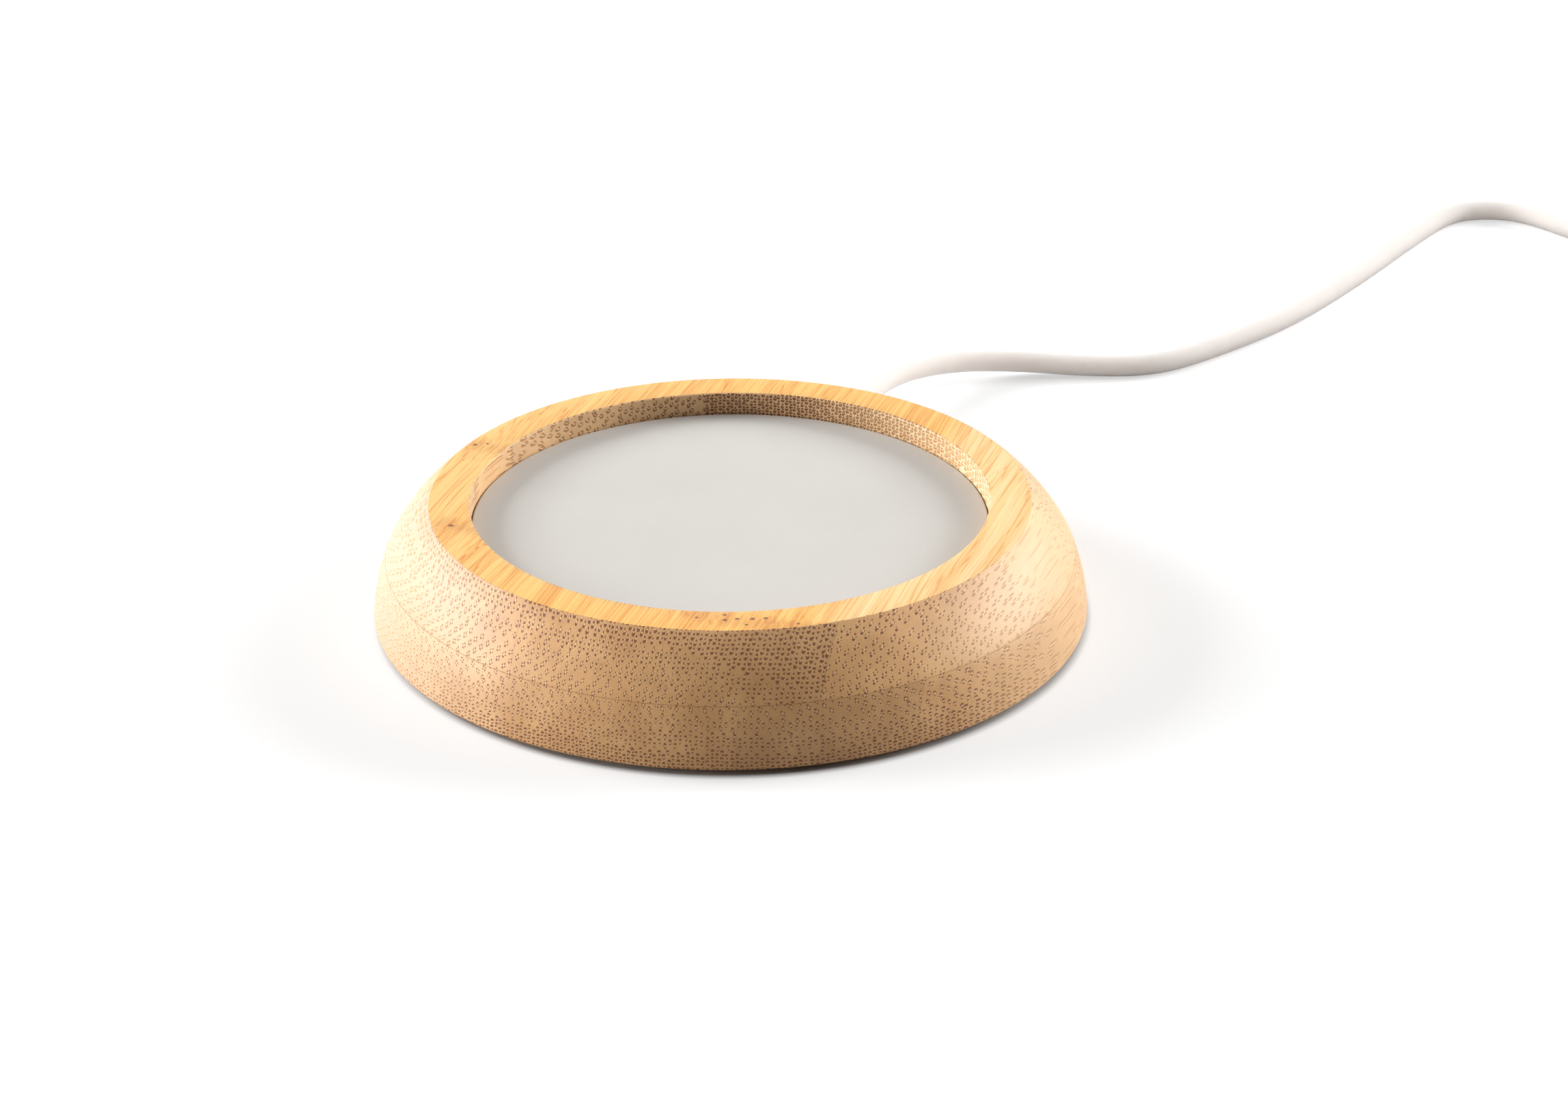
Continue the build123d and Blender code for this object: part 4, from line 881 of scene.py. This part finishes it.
def bamboo_lower():
    """Lower ply: bowed side, the cavity for the works, and the rebate that the base cover lies in."""
    cavity = carrier_high.x + CAVITY_CLEARANCE
    rebate = cover_high.x + COVER_CLEARANCE
    ledge = Z_UNDERSIDE + COVER_REBATE
    side = bowed((BASE_RADIUS, Z_UNDERSIDE), (GLUE_RADIUS, Z_GLUE), LOWER_BULGE, LOWER_STEPS)
    rest = [
        (GLUE_RADIUS, Z_GLUE),
        (cavity, Z_GLUE),
        (cavity, ledge),
        (rebate, ledge),
        (rebate, Z_UNDERSIDE),
    ]
    corners = {0: UNDERSIDE_ROUND, LOWER_STEPS: GLUE_EASE, LOWER_STEPS + 4: GLUE_EASE}
    outline = eased(side + rest, corners)
    mesh = with_cord_hole(turned("bamboo_lower_ply", outline, RING_SEGMENTS))
    ring = add_piece("bamboo_lower_ply", "bamboo", mesh, lower_bamboo)
    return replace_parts(ring, "bamboo_lower_ring")


def plate():
    """Heating plate: a flat disc with its upper edge rounded."""
    inner = [i * PLATE_RADIUS / 6 for i in range(6)]
    outline = [(r, Z_SEAT) for r in inner]
    corner = [(PLATE_RADIUS, Z_SEAT), (PLATE_RADIUS, Z_PLATE), (0.9 * PLATE_RADIUS, Z_PLATE)]
    outline += eased(corner, {1: PLATE_ROUND})
    outline += [(r, Z_PLATE) for r in reversed(inner)]
    mesh = turned("plate", outline, PLATE_SEGMENTS, closed=False)
    disc = add_piece("heating_plate_disc", "anodised_aluminium", mesh)
    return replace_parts(disc, "heating_plate")


# ---- Lead ----

def coil_point(angle, radius, along, level):
    """Point by the coil at an angle, moved along the lead's direction there, which is clockwise."""
    a = radians(angle)
    x = COIL_CENTRE[0] + radius * cos(a) + along * sin(a)
    y = COIL_CENTRE[1] + radius * sin(a) - along * cos(a)
    return (x, y, level)


def smooth(t):
    """Share from 0 to 1 that starts and ends gently."""
    t = min(max(t, 0), 1)
    return t * t * (3 - 2 * t)


def coil_slots():
    """Places of the lead in the coil's section, in the order in which it is wound: radius and level."""
    rise = CORD_DIAMETER * sqrt(3) / 2
    low = [(COIL_MIDDLE + k * CORD_DIAMETER, CORD_RADIUS) for k in (1, 0, -1)]
    mid = [(COIL_MIDDLE + k * CORD_DIAMETER, CORD_RADIUS + rise) for k in (-0.5, 0.5)]
    top = [(COIL_MIDDLE + k * CORD_DIAMETER, CORD_RADIUS + 2 * rise) for k in (-1, 0, 1)]
    return low + mid + top


def coil_turns():
    """Points of the wound turns. Each lies by or on the last, and all are lifted a little in the tie."""
    slots = coil_slots()
    cut_in = cos(radians(COIL_STEP / 2))    # the smooth line runs this much inside its points
    points = []
    for i in range(1, round(COIL_TRAVEL / COIL_STEP)):
        travel = i * COIL_STEP
        angle = COIL_ENTRY - travel
        number = min(int(travel // SLOT_STAY), len(slots) - 1)
        into = travel - number * SLOT_STAY - (SLOT_STAY - SLOT_MOVE + COIL_STEP)
        after = slots[min(number + 1, len(slots) - 1)]
        # It begins to rise, moves across from 6 degrees later, and is up 14 degrees before it is across.
        radius, level = slots[number]
        radius += (after[0] - radius) * smooth((into - 6) / (SLOT_MOVE - 6))
        level += (after[1] - level) * smooth(into / (SLOT_MOVE - 14))
        from_tie = abs((angle - TIE_ANGLE + 180) % 360 - 180)
        level += TIE_THICKNESS * smooth(1.4 - from_tie / TIE_REACH)
        points.append(coil_point(angle, radius / cut_in, 0, level))
    return points


def plug_point(along, across=0.0, level=0.0):
    """Point in the plug's own frame: along it from the end where the lead enters, across, and up."""
    a = radians(PLUG_HEADING)
    x = PLUG_REAR[0] + along * cos(a) - across * sin(a)
    y = PLUG_REAR[1] + along * sin(a) + across * cos(a)
    return (x, y, PLUG_HEIGHT / 2 + level)


def lead_points():
    """Control points of the whole free lead, from the strain relief to the plug."""
    outer, low_level = coil_slots()[0]
    top_level = coil_slots()[-1][1]
    coil_exit = COIL_ENTRY - COIL_TRAVEL
    points = [(0, sleeve_high.y, Z_EXIT), (0, sleeve_high.y + EXIT_STRAIGHT, Z_EXIT)]
    points += [(x * MM, y * MM, z * MM) for x, y, z in ROUTE]
    for along in (-1.5, -0.9, -0.35):
        points.append(coil_point(COIL_ENTRY, outer, along * COIL_STUB, low_level))
    points += coil_turns()
    points += [
        coil_point(coil_exit, outer, 0.3 * COIL_STUB, top_level),
        coil_point(coil_exit, outer, 0.9 * COIL_STUB, top_level - 1.6 * MM),
        coil_point(coil_exit, outer, 1.6 * COIL_STUB, CORD_RADIUS + 1.2 * MM),
        plug_point(-1.1 * PLUG_APPROACH, 0, -1.6 * MM),
        plug_point(-0.3 * PLUG_APPROACH),
        plug_point(0),
    ]
    return points


def power_lead():
    """The free lead, one smooth curve of its real length."""
    curve = bpy.data.curves.new("power_lead", "CURVE")
    curve.dimensions = "3D"
    points = lead_points()
    spline = curve.splines.new("NURBS")
    spline.points.add(len(points) - 1)
    for control, point in zip(spline.points, points):
        control.co = (*point, 1)
    spline.order_u = 3
    spline.use_endpoint_u = True
    spline.resolution_u = 10
    spline.use_smooth = True
    curve.bevel_depth = CORD_RADIUS
    curve.bevel_resolution = 5
    curve.use_fill_caps = True
    lead = add_piece("power_lead", "cord_jacket", curve)
    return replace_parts(lead, "power_cord", "cord_coil", "cord_tail")


def rounded_rectangle(half_width, half_height, radius, count=9):
    """Points of a rectangle with round corners, round its middle."""
    points = []
    for corner, (side, end) in enumerate(((1, 1), (-1, 1), (-1, -1), (1, -1))):
        for i in range(count):
            a = pi / 2 * (corner + i / (count - 1))
            x = side * (half_width - radius) + radius * cos(a)
            y = end * (half_height - radius) + radius * sin(a)
            points.append((x, y))
    return points


def circle(radius, count=40):
    """Points of a circle round its middle."""
    turns = [2 * pi * i / count for i in range(count)]
    return [(radius * cos(turn), radius * sin(turn)) for turn in turns]


def ribs(start, length, first, last, count):
    """Stations (place along, radius) of a taper with rounded ribs and narrow waists between them."""
    # One rib and its waist: share of the step, and by how many mm the radius is less than full there.
    step = length / count
    shape = ((0.08, 0.03), (0.18, 0), (0.55, 0), (0.66, 0.05), (0.74, 0.24), (0.95, 0.24))
    stations = []
    for i in range(count):
        full = first + (last - first) * i / (count - 1)
        stations += [(start + (i + share) * step, full - less * MM) for share, less in shape]
    # The end, its edge eased, takes the place of the last waist.
    end = start + length
    return stations[:-2] + [(end - 0.1 * MM, last), (end, last - 0.08 * MM)]


def exit_boot():
    """Moulded strain relief: collar and sleeve in the wall, then a ribbed nose that tapers to the lead."""
    low = sleeve_low.y
    # Radii.
    collar, sleeve, tip = 3.0 * MM, 2.4 * MM, 2.08 * MM
    wall = BASE_RADIUS - 0.3 * MM
    stations = [(low, collar - 0.1 * MM), (low + 0.1 * MM, collar), (low + 1.5 * MM, collar)]
    stations += [(low + 1.6 * MM, collar - 0.1 * MM), (low + 1.62 * MM, sleeve), (wall, sleeve)]
    stations += ribs(wall, sleeve_high.y - wall, sleeve, tip, RIB_COUNT)
    sections = [[(x, y, Z_EXIT + z) for x, z in circle(radius)] for y, radius in stations]
    boot = add_piece("exit_strain_relief", "plug_plastic", lofted("exit_strain_relief", sections))
    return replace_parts(boot, "strain_relief")


def plug_boot():
    """Ribbed taper of the plug where the lead goes in."""
    end = PLUG_RELIEF_LENGTH
    flange = end - 1.2 * MM
    root, tip = 2.85 * MM, 2.2 * MM
    from_flange = ribs(0, flange, root, tip, RIB_COUNT)
    stations = [(flange - along, radius) for along, radius in reversed(from_flange)]
    stations += [(end - 0.9 * MM, PLUG_RELIEF_RADIUS), (end, PLUG_RELIEF_RADIUS)]
    sections = [[plug_point(along, x, z) for x, z in circle(radius)] for along, radius in stations]
    mesh = lofted("plug_strain_relief_boot", sections)
    boot = add_piece("plug_strain_relief_boot", "plug_plastic", mesh)
    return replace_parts(boot, "plug_strain_relief")


def plug_grip():
    """Moulded body of the plug, with five shallow finger grooves round it."""
    start = PLUG_RELIEF_LENGTH
    end = start + PLUG_LENGTH
    # Each station: place along the plug, and by how many mm it is less than full size there.
    stations = [(start, 1.0), (start + 0.12 * MM, 0.62), (start + 0.4 * MM, 0.25), (start + 1 * MM, 0)]
    for i in range(RIB_COUNT):
        groove = start + (4.4 + 2.3 * i) * MM
        for along, less in ((-0.7, 0), (-0.5, 0.08), (-0.3, 0.3), (0.3, 0.3), (0.5, 0.08), (0.7, 0)):
            stations.append((groove + along * MM, less))
    stations += [(end - 0.4 * MM, 0), (end - 0.12 * MM, 0.12), (end, 0.4)]
    sections = []
    for along, less in stations:
        less *= MM
        outline = rounded_rectangle(PLUG_WIDTH / 2 - less, PLUG_HEIGHT / 2 - less, PLUG_ROUND - less / 2)
        sections.append([plug_point(along, x, z) for x, z in outline])
    grip = add_piece("usb_plug_grip", "plug_plastic", lofted("usb_plug_grip", sections))
    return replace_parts(grip, "usb_plug_body")


def coil_tie():
    """Nylon tie: a flat strap pulled round all the turns, with its lock on the outside."""
    a = radians(TIE_ANGLE)
    outward = Vector((cos(a), sin(a), 0))
    sideways = Vector((-sin(a), cos(a), 0))
    up = Vector((0, 0, 1))
    half_width = 1.5 * CORD_DIAMETER + TIE_PROUD + TIE_THICKNESS
    half_height = (coil_slots()[-1][1] + CORD_RADIUS) / 2 + TIE_THICKNESS
    middle = Vector((*COIL_CENTRE, half_height)) + outward * COIL_MIDDLE
    shape = bmesh.new()
    loops = []
    for less, side in ((0, -1), (0, 1), (TIE_THICKNESS, 1), (TIE_THICKNESS, -1)):
        outline = rounded_rectangle(half_width - less, half_height - less, TIE_ROUND - less)
        flank = sideways * side * TIE_WIDTH / 2
        loops.append([shape.verts.new(middle + outward * x + up * z + flank) for x, z in outline])
    for loop, after in zip(loops, loops[1:] + loops[:1]):
        for j in range(len(loop)):
            k = (j + 1) % len(loop)
            shape.faces.new((loop[j], after[j], after[k], loop[k]))
    depth, width, height = TIE_LOCK
    sections = []
    for along, less in ((0, 0), (0.9 * depth, 0), (depth, 0.1 * depth)):
        outline = rounded_rectangle(width / 2 - less, height / 2 - less, TIE_LOCK_ROUND)
        place = middle + outward * (half_width + along)
        sections.append([place + sideways * x + up * z for x, z in outline])
    add_loft(shape, sections)
    tie = add_piece("coil_tie", "nylon", finished(shape, "coil_tie"))
    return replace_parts(tie, "cable_tie")


clothe_frame()
bamboo_upper()
bamboo_lower()
plate()
lead = power_lead()
boot = exit_boot()
lead_pieces = [boot, coil_tie(), plug_boot(), plug_grip()]
for name in ("usb_plug_shell", "usb_plug_tongue", "usb_plug_contacts"):
    lead_pieces.append(frame["nodes"][name])


# ---- Floor, light and camera ----

def white_floor():
    """Pale floor that takes the shadow, and is white where it is seen unshaded."""
    bpy.ops.mesh.primitive_circle_add(vertices=96, radius=FLOOR_RADIUS, fill_type="NGON")
    floor = bpy.context.object
    floor.name = "floor"
    material, node = new_material("white_floor")
    across, along, _ = node("SeparateXYZ", [node("TexCoord").outputs["Object"]]).outputs
    place = node("CombineXYZ", [across, along])
    away = node("VectorMath", [place, FLOOR_MIDDLE], operation="DISTANCE").outputs["Value"]
    # The glow begins just under the ring's edge and is held back along it: the line of shade there is real
    # shadow, painted darker. Far out, the added glow is painted light that lifts the coil's shadow.
    edge = (BASE_RADIUS - 1.1 * MM, BASE_RADIUS + 0.35 * MM)
    glow = node("MapRange", [away, *edge, 0, OPEN_FLOOR_GLOW])
    more = node("MapRange", [away, *FAR_FLOOR, 0, SHADOW_LIFTING_GLOW])
    glow = node("Math", [glow, more], operation="ADD")
    glow = node("Math", [seen_directly(node), glow], operation="MULTIPLY")
    paint = node("BsdfDiffuse", {"Color": linear(FLOOR_PAINT)})
    light = node("Emission", {"Strength": glow})
    node("OutputMaterial", {"Surface": node("AddShader", [paint, light])})
    floor.data.materials.append(material)


def white_room():
    """Faint even light from all round, full white where it is seen."""
    world = bpy.data.worlds.new("room")
    bpy.context.scene.world = world
    world.use_nodes = True
    world.node_tree.nodes.clear()
    node = partial(add, world.node_tree)
    strength = node("MapRange", [seen_directly(node), 0, 1, ROOM_LIGHT, 1])
    light = node("Background", {"Color": linear("#FFFFFF"), "Strength": strength})
    node("OutputWorld", {"Surface": light})


def softbox(name, azimuth, height, size, level):
    """Square white lamp that faces the object from LAMP_DISTANCE."""
    a = radians(azimuth - 90 + CAMERA_HEADING)
    h = radians(height)
    lamp = bpy.data.lights.new(name, "AREA")
    lamp.size = size
    # The power at which a white surface by the object, facing the lamp, renders at this level.
    lamp.energy = level * (pi * LAMP_DISTANCE) ** 2
    holder = bpy.data.objects.new(name, lamp)
    out = LAMP_DISTANCE * cos(h)
    holder.location = (out * cos(a), out * sin(a), LAMP_DISTANCE * sin(h))
    holder.rotation_euler = Vector(holder.location).to_track_quat("Z", "Y").to_euler()
    bpy.context.scene.collection.objects.link(holder)


def camera():
    """Camera from in front and above, turned by its heading, its tilt and then its roll."""
    lens = bpy.data.cameras.new("camera")
    lens.lens = CAMERA_LENS
    lens.sensor_width = SENSOR_WIDTH
    lens.clip_start = 0.01
    lens.clip_end = 20
    holder = bpy.data.objects.new("camera", lens)
    heading = Matrix.Rotation(radians(CAMERA_HEADING), 4, "Z")
    tilt = Matrix.Rotation(radians(90 + CAMERA_TILT), 4, "X")
    roll = Matrix.Rotation(radians(CAMERA_ROLL), 4, "Z")
    holder.matrix_world = Matrix.Translation(CAMERA_PLACE) @ heading @ tilt @ roll
    bpy.context.scene.collection.objects.link(holder)
    bpy.context.scene.camera = holder


white_floor()
white_room()
for name, settings in LAMPS.items():
    softbox(name, *settings)
camera()
bpy.context.scene.view_settings.view_transform = "Standard"
